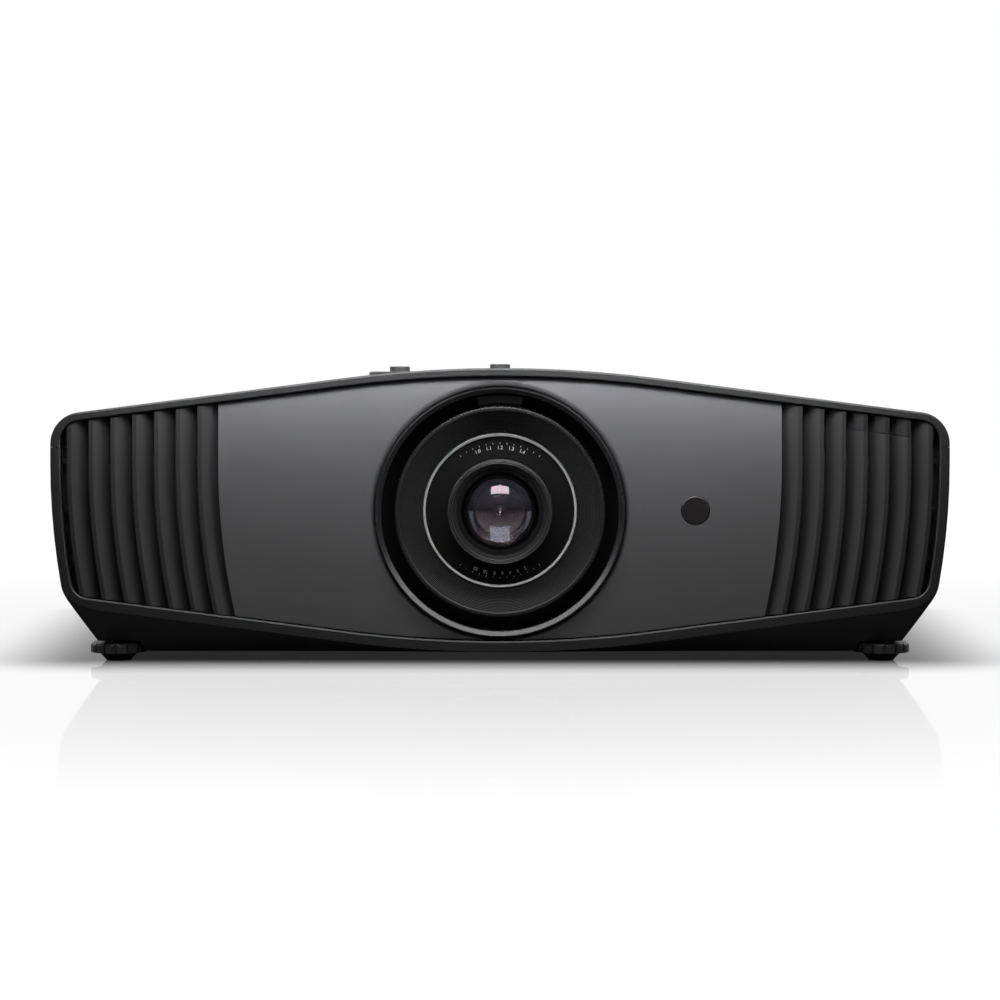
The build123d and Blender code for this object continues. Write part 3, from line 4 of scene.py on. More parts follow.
import bpy
import numpy as np
from bpy.props import FloatProperty, FloatVectorProperty, IntProperty, PointerProperty
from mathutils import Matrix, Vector


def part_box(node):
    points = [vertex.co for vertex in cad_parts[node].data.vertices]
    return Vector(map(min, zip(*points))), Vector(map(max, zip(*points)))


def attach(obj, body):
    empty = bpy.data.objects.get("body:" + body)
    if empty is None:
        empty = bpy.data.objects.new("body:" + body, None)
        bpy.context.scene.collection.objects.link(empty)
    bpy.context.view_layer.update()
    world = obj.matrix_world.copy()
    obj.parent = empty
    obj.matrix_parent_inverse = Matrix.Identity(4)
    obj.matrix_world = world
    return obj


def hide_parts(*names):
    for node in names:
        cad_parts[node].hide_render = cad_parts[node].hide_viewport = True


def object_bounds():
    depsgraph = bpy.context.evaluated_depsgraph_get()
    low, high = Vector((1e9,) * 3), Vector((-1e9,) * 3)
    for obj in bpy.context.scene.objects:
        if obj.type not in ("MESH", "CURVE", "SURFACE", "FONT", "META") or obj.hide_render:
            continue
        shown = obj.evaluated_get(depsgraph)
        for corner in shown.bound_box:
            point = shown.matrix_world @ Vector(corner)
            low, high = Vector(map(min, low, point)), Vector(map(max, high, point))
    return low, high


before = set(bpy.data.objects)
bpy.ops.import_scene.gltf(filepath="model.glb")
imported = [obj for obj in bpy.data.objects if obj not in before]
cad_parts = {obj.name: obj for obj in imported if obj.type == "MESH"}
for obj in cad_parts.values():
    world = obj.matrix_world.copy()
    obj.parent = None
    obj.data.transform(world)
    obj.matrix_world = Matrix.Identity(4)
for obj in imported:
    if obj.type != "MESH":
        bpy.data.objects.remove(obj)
CAD_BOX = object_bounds()

bl_info = {
    "name": "Home projector",
    "version": (1, 0, 0),
    "blender": (4, 5, 0),
    "location": "3D View > Sidebar > Projector",
    "description": "Finishes, lens details and studio for the home projector",
    "category": "Object",
}

NODES = set(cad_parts)
RING_LOW, RING_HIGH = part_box("focus_ring")
LENS_X = 0.5 * (RING_LOW.x + RING_HIGH.x)
LENS_Z = 0.5 * (RING_LOW.z + RING_HIGH.z)
MM = 0.001

# Focus ring: the knurled band and the grooved cone inside it
RIM_WIDTH = 2.7 * MM
RIM_LAND = 1.1 * MM         # flat of the band's front face, from the outer edge
TOOTH_RAMP = 0.8 * MM       # radius over which the teeth grow to full depth
CONE_RIM = 3.3 * MM         # gap of the cone's upper edge from the outer edge
CONE_FRONT = 1.3 * MM
CONE_BACK = 3.4 * MM        # gap of the cone's lower edge from the ring's rear face
CONE_BORE = 43.6 * MM
RING_BORE = 43.3 * MM

# Lens elements behind the front glass
LENS_BORE = 19.3 * MM
ELEMENT_GAP = 0.3 * MM
ELEMENT_THICK = 1.2 * MM
CROWN_BEND = 33 * MM
CUP_BEND = 31 * MM
CUP_RADIUS = 17.4 * MM
CUP_DEPTH = 8.5 * MM
BAFFLE_FRONT = 7.4 * MM
BAFFLE_BACK = 17 * MM
BAFFLE_STEP = 0.6 * MM
BAFFLE_RISE = 0.35 * MM

# Case screws: places on the rear panel and under the case, in metres
REAR_SCREW_X = 0.222
REAR_SCREW_RISES = (-0.035, 0.028)
TOP_SCREW_PLACES = (-0.11, 0.04)
TOP_SCREW_RISE = 0.048
UNDER_SCREW_X = 0.19
UNDER_SCREW_Y = (-0.1, 0.11)
MIDDLE_SCREW_Y = (-0.12, 0.15)

# Studio floor, distances in metres
SHADOW_INSET = 0.025        # the contact shadow is full this far inside the case's outline
SHADOW_REACH = 0.085
GLOW_NEAR, GLOW_FAR = 0.3, 0.9
MIRROR_NEAR, MIRROR_FAR = 0.3, 0.7


# ---------------------------------------------------------------- sizes and colours
class ProjectorSizes(bpy.types.PropertyGroup):
    """Sizes of the fine lens parts."""

    knurl_teeth: IntProperty(
        name="Knurl teeth", description="Teeth round the focus ring", default=180, min=24
    )
    knurl_depth: FloatProperty(
        name="Knurl depth", description="Depth of a tooth", default=0.45 * MM, unit="LENGTH"
    )
    cone_grooves: IntProperty(
        name="Cone grooves", description="Light-trap grooves in the ring's cone", default=15
    )
    groove_depth: FloatProperty(
        name="Groove depth", description="Depth of a groove", default=0.42 * MM, unit="LENGTH"
    )
    scale_text: FloatProperty(
        name="Scale figures", description="Height of the lens figures", default=2.7 * MM, unit="LENGTH"
    )
    screw_head: FloatProperty(
        name="Screw head", description="Radius of a case screw's head", default=2.9 * MM, unit="LENGTH"
    )


class ProjectorColours(bpy.types.PropertyGroup):
    """Colours of the moulded and coated pieces."""

    case: FloatVectorProperty(
        name="Case", description="Moulded case", subtype="COLOR", default=(0.014, 0.0142, 0.015)
    )
    panel: FloatVectorProperty(
        name="Panel", description="Satin front panel", subtype="COLOR", default=(0.150, 0.150, 0.156)
    )
    louvre: FloatVectorProperty(
        name="Louvres", description="Louvre blades", subtype="COLOR", default=(0.018, 0.018, 0.019)
    )
    lens: FloatVectorProperty(
        name="Lens black",
        description="Anodised lens parts",
        subtype="COLOR",
        default=(0.011, 0.011, 0.012),
    )


class ProjectorStudio(bpy.types.PropertyGroup):
    """Camera, light and floor."""

    distance: FloatProperty(
        name="Distance", description="Camera to the case's front", default=1.65, unit="LENGTH"
    )
    height: FloatProperty(
        name="Height", description="Camera above the floor", default=0.172, unit="LENGTH"
    )
    focal: FloatProperty(name="Focal length", description="Lens of the camera in mm", default=108.6)
    shift: FloatProperty(name="Shift", description="Upright shift of the camera", default=-0.151)
    floor: FloatVectorProperty(
        name="Floor", description="Colour of the floor", subtype="COLOR", default=(0.05, 0.05, 0.05)
    )
    floor_glow: FloatProperty(
        name="Floor glow", description="Self-lit share of the floor near the case", default=0.92
    )
    floor_mirror: FloatProperty(
        name="Floor mirror", description="Share of the floor that mirrors", default=0.24
    )
    floor_throw: FloatProperty(
        name="Floor throw", description="How light the floor is to the case", default=0.09
    )
    backdrop: FloatProperty(name="Backdrop", description="Strength of the white backdrop", default=1.0)
    over: FloatProperty(
        name="Overhead light", description="Power of the overhead softbox", default=26.0
    )
    strip: FloatProperty(
        name="Strip light", description="Power of the strip over the front", default=1.15
    )
    fill: FloatProperty(
        name="Lens softbox", description="Power of the softbox above and before the lens", default=0.6
    )
    side: FloatProperty(name="Side lights", description="Power of each side softbox", default=0.8)
    rear: FloatProperty(name="Rear light", description="Power of the softbox behind", default=9.0)
    flank: FloatProperty(
        name="Flank lights", description="Power of each softbox beside the case", default=4.5
    )
    world: FloatProperty(name="Surround", description="Strength of the white surround", default=0.02)


# ---------------------------------------------------------------- meshes
def quad_sheet(rows, cols, wrap_rows, wrap_cols):
    """Corner indices of a rows x cols grid's quads, wrapped round where asked."""
    i = np.arange(rows if wrap_rows else rows - 1)
    j = np.arange(cols if wrap_cols else cols - 1)
    a, b = np.meshgrid(i, j, indexing="ij")
    a2, b2 = (a + 1) % rows, (b + 1) % cols
    quads = np.stack([a * cols + b, a * cols + b2, a2 * cols + b2, a2 * cols + b], axis=-1)
    return quads.reshape(-1, 4)


def make_piece(name, points, quads, body, slot, material, smooth=True):
    """Mesh object from points and quads, turned right side out by its signed volume."""
    a, b, c, d = (points[quads[:, k]] for k in range(4))
    volume = np.einsum("ij,ij->", a, np.cross(b, c)) + np.einsum("ij,ij->", a, np.cross(c, d))
    if volume < 0:
        quads = quads[:, ::-1]
    mesh = bpy.data.meshes.new(name)
    mesh.vertices.add(len(points))
    mesh.vertices.foreach_set("co", points.astype(np.float32).ravel())
    mesh.loops.add(quads.size)
    mesh.loops.foreach_set("vertex_index", quads.astype(np.int32).ravel())
    mesh.polygons.add(len(quads))
    mesh.polygons.foreach_set("loop_start", np.arange(0, quads.size, 4, dtype=np.int32))
    mesh.polygons.foreach_set("use_smooth", np.full(len(quads), smooth))
    mesh.update(calc_edges=True)
    mesh.validate()
    piece = bpy.data.objects.new(name, mesh)
    bpy.context.scene.collection.objects.link(piece)
    mesh.materials.append(material)
    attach(piece, body)
    return piece


def lathe(profile, segments, wobble=None):
    """Surface of revolution about the lens axis.

    A closed (radius, depth) outline is carried round the axis: x = cx + r cos t, z = cz + r sin t,
    y = depth. wobble(radius, depth, t) may move the radius with the angle t.
    """
    profile = np.asarray(profile, dtype=float)
    t = np.linspace(0, 2 * math.pi, segments, endpoint=False)
    r = np.repeat(profile[:, :1], segments, axis=1)
    y = np.repeat(profile[:, 1:], segments, axis=1)
    turn = np.repeat(t[None, :], len(profile), axis=0)
    if wobble is not None:
        r = r + wobble(r, y, turn)
    points = np.stack([LENS_X + r * np.cos(turn), y, LENS_Z + r * np.sin(turn)], axis=-1).reshape(-1, 3)
    return points, quad_sheet(len(profile), segments, True, True)


def turned(profile, segments, centre, axis, wobble=None):
    """Surface of revolution about an upright or level axis through a point.

    A closed (radius, rise) outline goes round: the point is centre + r cos t u + r sin t v + rise n,
    with n the axis and u, v across it. wobble(radius, rise, t) may move the rise with place.
    """
    profile = np.asarray(profile, dtype=float)
    n = np.asarray(axis, dtype=float)
    u = np.array([1.0, 0.0, 0.0])
    v = np.cross(n, u)
    t = np.linspace(0, 2 * math.pi, segments, endpoint=False)
    r = np.repeat(profile[:, :1], segments, axis=1)
    h = np.repeat(profile[:, 1:], segments, axis=1)
    turn = np.repeat(t[None, :], len(profile), axis=0)
    if wobble is not None:
        h = h + wobble(r, h, turn)
    across = r * np.cos(turn)
    along = r * np.sin(turn)
    points = np.asarray(centre) + across[..., None] * u + along[..., None] * v + h[..., None] * n
    return points.reshape(-1, 3), quad_sheet(len(profile), segments, True, True)


def bars(centres, half):
    """Boxes of one half size at many centres, as one set of points and quads."""
    corner = np.array([(x, y, z) for x in (-1, 1) for y in (-1, 1) for z in (-1, 1)], dtype=float)
    sides = np.array(
        [(0, 1, 3, 2), (4, 6, 7, 5), (0, 4, 5, 1), (2, 3, 7, 6), (0, 2, 6, 4), (1, 5, 7, 3)]
    )
    centres = np.asarray(centres, dtype=float)
    points = centres[:, None, :] + corner[None] * np.asarray(half)
    quads = sides[None] + 8 * np.arange(len(centres))[:, None, None]
    return points.reshape(-1, 3), quads.reshape(-1, 4)


def joined(pieces):
    """Several (points, quads) sets as one."""
    counts = np.cumsum([0] + [len(points) for points, _ in pieces[:-1]])
    points = np.concatenate([points for points, _ in pieces])
    return points, np.concatenate([quads + start for (_, quads), start in zip(pieces, counts)])


# ---------------------------------------------------------------- shader groups
def group(name, inputs, outputs):
    """Empty shader node group with its sockets; returns the tree and its two end nodes."""
    tree = bpy.data.node_groups.new(name, "ShaderNodeTree")
    for label, kind, value in inputs:
        socket = tree.interface.new_socket(label, in_out="INPUT", socket_type=kind)
        socket.default_value = value
    for label, kind in outputs:
        tree.interface.new_socket(label, in_out="OUTPUT", socket_type=kind)
    return tree, tree.nodes.new("NodeGroupInput"), tree.nodes.new("NodeGroupOutput")


def grain_group():
    """Moulded grain: fine noise as a bump and as a small change of roughness."""
    tree, start, end = group(
        "moulded_grain",
        (
            ("Scale", "NodeSocketFloat", 2600.0),
            ("Depth", "NodeSocketFloat", 0.12),
            ("Roughness", "NodeSocketFloat", 0.45),
            ("Spread", "NodeSocketFloat", 0.08),
        ),
        (("Normal", "NodeSocketVector"), ("Roughness", "NodeSocketFloat")),
    )
    nodes, links = tree.nodes, tree.links
    place = nodes.new("ShaderNodeTexCoord")
    fine = nodes.new("ShaderNodeTexNoise")
    fine.inputs["Detail"].default_value = 3.0
    wide = nodes.new("ShaderNodeTexNoise")
    wide.inputs["Scale"].default_value = 35.0
    wide.inputs["Detail"].default_value = 4.0
    links.new(place.outputs["Object"], fine.inputs["Vector"])
    links.new(place.outputs["Object"], wide.inputs["Vector"])
    links.new(start.outputs["Scale"], fine.inputs["Scale"])
    bump = nodes.new("ShaderNodeBump")
    bump.inputs["Distance"].default_value = 0.00008
    links.new(start.outputs["Depth"], bump.inputs["Strength"])
    links.new(fine.outputs["Fac"], bump.inputs["Height"])
    centred = nodes.new("ShaderNodeMath")
    centred.operation = "SUBTRACT"
    centred.inputs[1].default_value = 0.5
    links.new(wide.outputs["Fac"], centred.inputs[0])
    scaled = nodes.new("ShaderNodeMath")
    scaled.operation = "MULTIPLY_ADD"
    links.new(centred.outputs[0], scaled.inputs[0])
    links.new(start.outputs["Spread"], scaled.inputs[1])
    links.new(start.outputs["Roughness"], scaled.inputs[2])
    links.new(bump.outputs["Normal"], end.inputs["Normal"])
    links.new(scaled.outputs[0], end.inputs["Roughness"])
    return tree


def tone_group():
    """Colour that drifts a little over the surface, as a moulding's does."""
    tree, start, end = group(
        "colour_drift",
        (
            ("Colour", "NodeSocketColor", (0.1, 0.1, 0.1, 1)),
            ("Amount", "NodeSocketFloat", 0.1),
            ("Scale", "NodeSocketFloat", 25.0),
        ),
        (("Colour", "NodeSocketColor"),),
    )
    nodes, links = tree.nodes, tree.links
    place = nodes.new("ShaderNodeTexCoord")
    noise = nodes.new("ShaderNodeTexNoise")
    noise.inputs["Detail"].default_value = 5.0
    links.new(place.outputs["Object"], noise.inputs["Vector"])
    links.new(start.outputs["Scale"], noise.inputs["Scale"])
    centred = nodes.new("ShaderNodeMath")
    centred.operation = "SUBTRACT"
    centred.inputs[1].default_value = 0.5
    links.new(noise.outputs["Fac"], centred.inputs[0])
    gain = nodes.new("ShaderNodeMath")
    gain.operation = "MULTIPLY_ADD"
    gain.inputs[2].default_value = 1.0
    links.new(centred.outputs[0], gain.inputs[0])
    links.new(start.outputs["Amount"], gain.inputs[1])
    value = nodes.new("ShaderNodeHueSaturation")
    links.new(start.outputs["Colour"], value.inputs["Color"])
    links.new(gain.outputs[0], value.inputs["Value"])
    links.new(value.outputs["Color"], end.inputs["Colour"])
    return tree


def finish(
    name, colour, roughness, grain=0.12, scale=2600.0, metallic=0.0, drift=0.12, spread=0.08, **extra
):
    """Principled material: the shared groups give what varies over it, and the rest is set plainly."""
    material = bpy.data.materials.new(name)
    material.use_nodes = True
    nodes, links = material.node_tree.nodes, material.node_tree.links
    shader = nodes["Principled BSDF"]
    if spread or grain:
        surface = nodes.new("ShaderNodeGroup")
        surface.node_tree = bpy.data.node_groups.get("moulded_grain") or grain_group()
        surface.inputs["Scale"].default_value = scale
        surface.inputs["Depth"].default_value = grain
        surface.inputs["Roughness"].default_value = roughness
        surface.inputs["Spread"].default_value = spread
    if spread:
        links.new(surface.outputs["Roughness"], shader.inputs["Roughness"])
    else:
        shader.inputs["Roughness"].default_value = roughness
    if grain:
        links.new(surface.outputs["Normal"], shader.inputs["Normal"])
    if drift:
        tone = nodes.new("ShaderNodeGroup")
        tone.node_tree = bpy.data.node_groups.get("colour_drift") or tone_group()
        tone.inputs["Colour"].default_value = (*colour[:3], 1.0)
        tone.inputs["Amount"].default_value = drift
        links.new(tone.outputs["Colour"], shader.inputs["Base Color"])
    else:
        shader.inputs["Base Color"].default_value = (*colour[:3], 1.0)
    shader.inputs["Metallic"].default_value = metallic
    for socket, value in extra.items():
        shader.inputs[socket.replace("_", " ")].default_value = value
    return material


def coated(name, colour, tint, **extra):
    """Dark polished glass whose thin coating tints what it reflects."""
    material = finish(name, colour, 0.03, 0.0, spread=0.0, drift=0.3, IOR=1.9, **extra)
    material.node_tree.nodes["Principled BSDF"].inputs["Specular Tint"].default_value = (*tint, 1.0)
    return material


def dress(material, *names):
    """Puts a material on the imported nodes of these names."""
    for name in names:
        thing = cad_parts[name]
        thing.data.materials.clear()
        thing.data.materials.append(material)


# ---------------------------------------------------------------- operators
class PROJECTOR_OT_case_finish(bpy.types.Operator):
    """Finishes of the case, the front, the vents and the feet"""

    bl_idname = "projector.case_finish"
    bl_label = "Case finishes"

    def execute(self, context):
        colours = context.scene.projector_colours
        case = finish("case_moulding", colours.case, 0.5, 0.35, 2400.0, Specular_IOR_Level=0.3)
        dress(case, "top_cover", "bottom_case", "lamp_cover", "keypad_bezel")
        dress(
            finish("panel_satin", colours.panel, 0.46, 0.25, 3800.0, metallic=0.8, drift=0.05),
            "front_panel",
        )
        blade = finish("louvre_satin", colours.louvre, 0.36, 0.2, 2600.0)
        dress(blade, "left_louver", "right_louver")
        dress(finish("status_smoke", (0.016, 0.016, 0.017), 0.16, 0.03, spread=0.03), "status_windows")
        dress(finish("receiver_filter", (0.012, 0.010, 0.011), 0.28, 0.05, spread=0.02), "ir_window")
        dress(
            finish("vent_black", (0.012, 0.012, 0.013), 0.55, 0.4),
            "side_grille_left",
            "side_grille_right",
            "rear_panel",
        )
        dress(
            finish("knob_black", (0.016, 0.016, 0.017), 0.42, 0.3),
            "shift_bezel",
            "horizontal_shift_knob",
            "vertical_shift_knob",
        )
        feet = finish("foot_moulding", (0.022, 0.022, 0.023), 0.40, 0.3)
        rubber = finish("foot_rubber", (0.010, 0.010, 0.010), 0.75, 0.6, 1800.0)
        dress(feet, *[n for n in NODES if n.startswith("foot_disc")])
        dress(rubber, *[n for n in NODES if n.startswith("foot_pad")])
        return {"FINISHED"}


class PROJECTOR_OT_lens_finish(bpy.types.Operator):
    """Finishes of the lens, its rings and its glass"""

    bl_idname = "projector.lens_finish"
    bl_label = "Lens finishes"

    def execute(self, context):
        colours = context.scene.projector_colours
        black = finish("anodised_black", colours.lens, 0.42, 0.15, 3200.0, metallic=0.2)
        dress(black, "lens_barrel", "front_barrel", "focus_ring", "horizontal_carriage", "zoom_carrier")
        dress(finish("bezel_rim", (0.012, 0.012, 0.013), 0.34, 0.1, metallic=0.2), "lens_bezel")
        dress(
            finish("name_ring_black", (0.004, 0.004, 0.004), 0.75, 0.3, Specular_IOR_Level=0.08),
            "name_ring",
        )
        dress(
            finish("retainer_black", (0.010, 0.010, 0.011), 0.30, 0.05, metallic=0.4), "retaining_ring"
        )
        # painted light: the lever's grey is raised so it shows although the bezel shades it from the
        # strip light
        dress(finish("lever_gloss_painted_light", (0.12, 0.12, 0.125), 0.22, 0.02, spread=0.02), "zoom_ring")
        dress(
            finish("silver_trim", (0.95, 0.95, 0.96), 0.5, 0.05, metallic=1.0, drift=0.03), "trim_ring"
        )
        return {"FINISHED"}


class PROJECTOR_OT_inside_finish(bpy.types.Operator):
    """Finishes of the sockets, keys, fans and everything behind the vents"""

    bl_idname = "projector.inside_finish"
    bl_label = "Rear and inside finishes"

    def execute(self, context):
        metal = finish("socket_metal", (0.55, 0.55, 0.57), 0.32, 0.1, metallic=1.0)
        dress(metal, "hdmi_sockets", "usb_socket", "lan_socket", "serial_socket")
        dress(finish("inlet_black", (0.012, 0.012, 0.012), 0.5, 0.4), "ac_inlet", "audio_jacks")
        dress(
            finish("key_grey", (0.06, 0.06, 0.062), 0.5, 0.3),
            *[n for n in NODES if n.endswith("_key")],
            "navigation_ring",
        )
        dress(finish("insert_brass", (0.60, 0.42, 0.17), 0.35, 0.1, metallic=1.0), "mount_inserts")
        dress(
            finish("cast_alloy", (0.42, 0.43, 0.45), 0.45, 0.5, 900.0, metallic=1.0),
            "light_engine",
            "vertical_carriage",
        )
        dress(
            finish("zinc_steel", (0.50, 0.50, 0.51), 0.38, 0.2, metallic=1.0),
            "shift_base",
            "power_supply",
        )
        dress(finish("board_green", (0.015, 0.09, 0.04), 0.40, 0.3), "main_board")
        dress(finish("lamp_house", (0.05, 0.05, 0.05), 0.6, 0.4), "lamp_module")
        dress(finish("fan_black", (0.010, 0.010, 0.010), 0.5, 0.2), *[n for n in NODES if "_fan_" in n])
        dress(finish("wheel_glass", (0.5, 0.55, 0.65), 0.05, 0.0, metallic=0.3), "colour_wheel")
        return {"FINISHED"}


class PROJECTOR_OT_focus_ring(bpy.types.Operator):
    """Knurled focus ring with the grooved cone inside it"""

    bl_idname = "projector.focus_ring"
    bl_label = "Focus ring"

    def execute(self, context):
        sizes = context.scene.projector_sizes
        outer = 0.5 * (RING_HIGH.x - RING_LOW.x)
        front, rear = RING_LOW.y, RING_HIGH.y
        teeth, depth = sizes.knurl_teeth, sizes.knurl_depth
        # band outline, (radius, depth), closed; the outermost points carry the teeth
        band = np.array(
            [
                (outer - RIM_WIDTH, front + 1.4 * MM),
                (outer - RIM_WIDTH, front + 0.3 * MM),
                (outer - RIM_WIDTH + 0.3 * MM, front),
                (outer - RIM_LAND, front),
                (outer - 0.45 * MM, front + 0.15 * MM),
                (outer, front + 0.9 * MM),
                (outer, rear - 1.0 * MM),
                (outer - 1.0 * MM, rear),
                (outer - RIM_WIDTH, rear),
            ]
        )

        def toothed(r, y, t):
            """Flat-topped waves: the tooth height is a clipped sine of teeth times the angle."""
            wave = np.clip(1.8 * np.sin(teeth * t), -1, 1)
            share = np.clip((r - (outer - 1.2 * MM)) / TOOTH_RAMP, 0, 1)
            return 0.5 * depth * (wave - 1) * share

        black = finish("focus_knurl", (0.014, 0.014, 0.015), 0.38, 0.1, metallic=0.3)
        piece = make_piece(
            "focus_ring_knurl",
            *lathe(band, teeth * 6, toothed),
            "focus_ring_body",
            "lens_black",
            black,
            False,
        )
        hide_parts("focus_ring")

        # cone outline: grooves are a rounded saw wave cut into the line from rim to bore
        count = sizes.cone_grooves
        s = np.linspace(0, 1, count * 8 + 1)
        r_top, r_low = outer - CONE_RIM, CONE_BORE
        y_top, y_low = front + CONE_FRONT, rear - CONE_BACK
        saw = np.abs(((s * count) % 1.0) - 0.35) / 0.65
        cut = sizes.groove_depth * (1 - np.clip(saw, 0, 1))
        slope = math.atan2(y_low - y_top, r_top - r_low)
        r = r_top + (r_low - r_top) * s + cut * math.sin(slope)
        y = y_top + (y_low - y_top) * s + cut * math.cos(slope)
        seat = outer - RIM_WIDTH - 0.05 * MM
        back = [
            (RING_BORE, rear - 3.2 * MM),
            (RING_BORE, rear),
            (seat, rear),
            (seat, front + CONE_FRONT),
        ]
        cone = np.concatenate([np.stack([r, y], axis=-1), np.array(back)])
        grey = finish("cone_black", (0.018, 0.018, 0.019), 0.36, 0.1, metallic=0.4)
        make_piece("focus_ring_cone", *lathe(cone, 288), "focus_ring_body", "lens_black", grey, False)
        return {"FINISHED"}


class PROJECTOR_OT_lens_glass(bpy.types.Operator):
    """Front glass, the coated elements behind it and the stepped baffle that holds them"""

    bl_idname = "projector.lens_glass"
    bl_label = "Lens glass"

    def execute(self, context):
        clear = (1.0, 1.0, 1.0)
        front = finish(
            "front_glass", clear, 0.01, 0.0, spread=0.0, drift=0.0, Transmission_Weight=1.0, IOR=1.45
        )
        dress(front, "front_element")
        dress(coated("zoom_coating", (0.010, 0.010, 0.016), (0.75, 0.70, 1.0)), "zoom_element")
        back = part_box("front_element")[1].y
        pink = coated(
            "pink_coating", (0.98, 0.86, 0.91), (1.0, 0.55, 0.75), metallic=0.32, Transmission_Weight=1.0
        )
        crown = self.cap_of_glass(back + ELEMENT_GAP, LENS_BORE, CROWN_BEND, 1)
        make_piece("crown_element", *lathe(crown, 160), "focus_group", "coated_glass", pink)
        blue = coated("blue_coating", (0.70, 0.86, 1.0), (0.45, 0.70, 1.0), metallic=1.0)
        cupped = self.cap_of_glass(back + CUP_DEPTH, CUP_RADIUS, CUP_BEND, -1)
        make_piece("hollow_element", *lathe(cupped, 160), "focus_group", "coated_glass", blue)
        # baffle: three steps down from the bore to the hollow element
        steps = [(LENS_BORE, back + BAFFLE_BACK)]
        radius, depth = LENS_BORE, back + BAFFLE_FRONT
        for _ in range(3):
            steps += [(radius, depth), (radius - BAFFLE_STEP, depth)]
            radius -= BAFFLE_STEP
            depth += BAFFLE_RISE
        steps += [(radius, depth), (radius, back + BAFFLE_BACK)]
        black = finish("baffle_black", (0.006, 0.006, 0.006), 0.35, 0.1)
        make_piece("lens_baffle", *lathe(steps, 128), "focus_group", "lens_black", black, False)
        return {"FINISHED"}

    @staticmethod
    def cap_of_glass(depth, outer, bend, sign):
        """Outline of a thin lens: two equal arcs of radius bend, bulging forwards for sign 1.

        depth is where the foremost point of the front face stands.
        """
        radius = np.linspace(outer, 0.02 * MM, 28)
        sag = bend - np.sqrt(bend**2 - radius**2)
        face = depth + (sag if sign > 0 else sag.max() - sag)
        front = np.stack([radius, face], axis=-1)
        return np.concatenate([front, (front + [0, ELEMENT_THICK])[::-1]])


class PROJECTOR_OT_lens_scale(bpy.types.Operator):
    """Figures and index lines printed on the ring round the front barrel"""

    bl_idname = "projector.lens_scale"
    bl_label = "Lens figures"

    def execute(self, context):
        low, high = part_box("name_ring")
        inner = 0.5 * (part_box("front_barrel")[1].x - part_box("front_barrel")[0].x)
        radius = 0.5 * (0.5 * (high.x - low.x) + inner)
        face = low.y - 0.03 * MM
        paint = finish("scale_paint", (0.50, 0.50, 0.51), 0.6, 0.1)
        height = context.scene.projector_sizes.scale_text
        for name, label, angle in (
            ("scale_upper", "1.0    1.1    1.2    1.3    1.4", 0.0),
            ("scale_lower", "2    3    4    6    8    10    20", 180.0),
        ):
            self.figures(context, name, label, height, radius, math.radians(angle), face, paint)
        marks = math.radians(1.0) * np.concatenate([np.arange(-36, 37, 6), np.arange(144, 217, 6)])
        ticks = radius + 2.3 * MM
        lines = [self.tick(ticks, turn, face) for turn in marks]
        make_piece("scale_lines", *joined(lines), "lens_body", "lens_black", paint, False)
        return {"FINISHED"}

    @staticmethod
    def tick(radius, turn, face):
        """Short line across the ring at an angle from the top."""
        points, quads = bars([(0, 0, 0)], (0.09 * MM, 0.02 * MM, 0.45 * MM))
        out = radius + points[:, 2]
        x = out * math.sin(turn) + points[:, 0] * math.cos(turn)
        z = out * math.cos(turn) - points[:, 0] * math.sin(turn)
        return np.stack([LENS_X + x, face + points[:, 1], LENS_Z + z], axis=-1), quads

    @staticmethod
    def figures(context, name, label, height, radius, middle, face, paint):
        """Text bent round the lens: its line becomes the arc, angle = middle + x over the radius."""
        curve = bpy.data.curves.new(name, "FONT")
        curve.body = label
        curve.size = height
        curve.extrude = 0.02 * MM
        curve.align_x = "CENTER"
        curve.resolution_u = 3
        line = bpy.data.objects.new(name + "_line", curve)
        context.scene.collection.objects.link(line)
        context.view_layer.update()
        flat = bpy.data.meshes.new_from_object(line)
        bpy.data.objects.remove(line)
        bpy.data.curves.remove(curve)
        co = np.empty(len(flat.vertices) * 3, dtype=np.float32)
        flat.vertices.foreach_get("co", co)
        co = co.reshape(-1, 3).astype(float)
        out = radius + co[:, 1] - 0.35 * height
        turn = middle + co[:, 0] / radius
        bent = np.stack(
            [LENS_X + out * np.sin(turn), face - co[:, 2], LENS_Z + out * np.cos(turn)], axis=-1
        )
        flat.vertices.foreach_set("co", bent.astype(np.float32).ravel())
        flat.name = name
        flat.materials.clear()
        flat.materials.append(paint)
        piece = bpy.data.objects.new(name, flat)
        context.scene.collection.objects.link(piece)
        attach(piece, "lens_body")


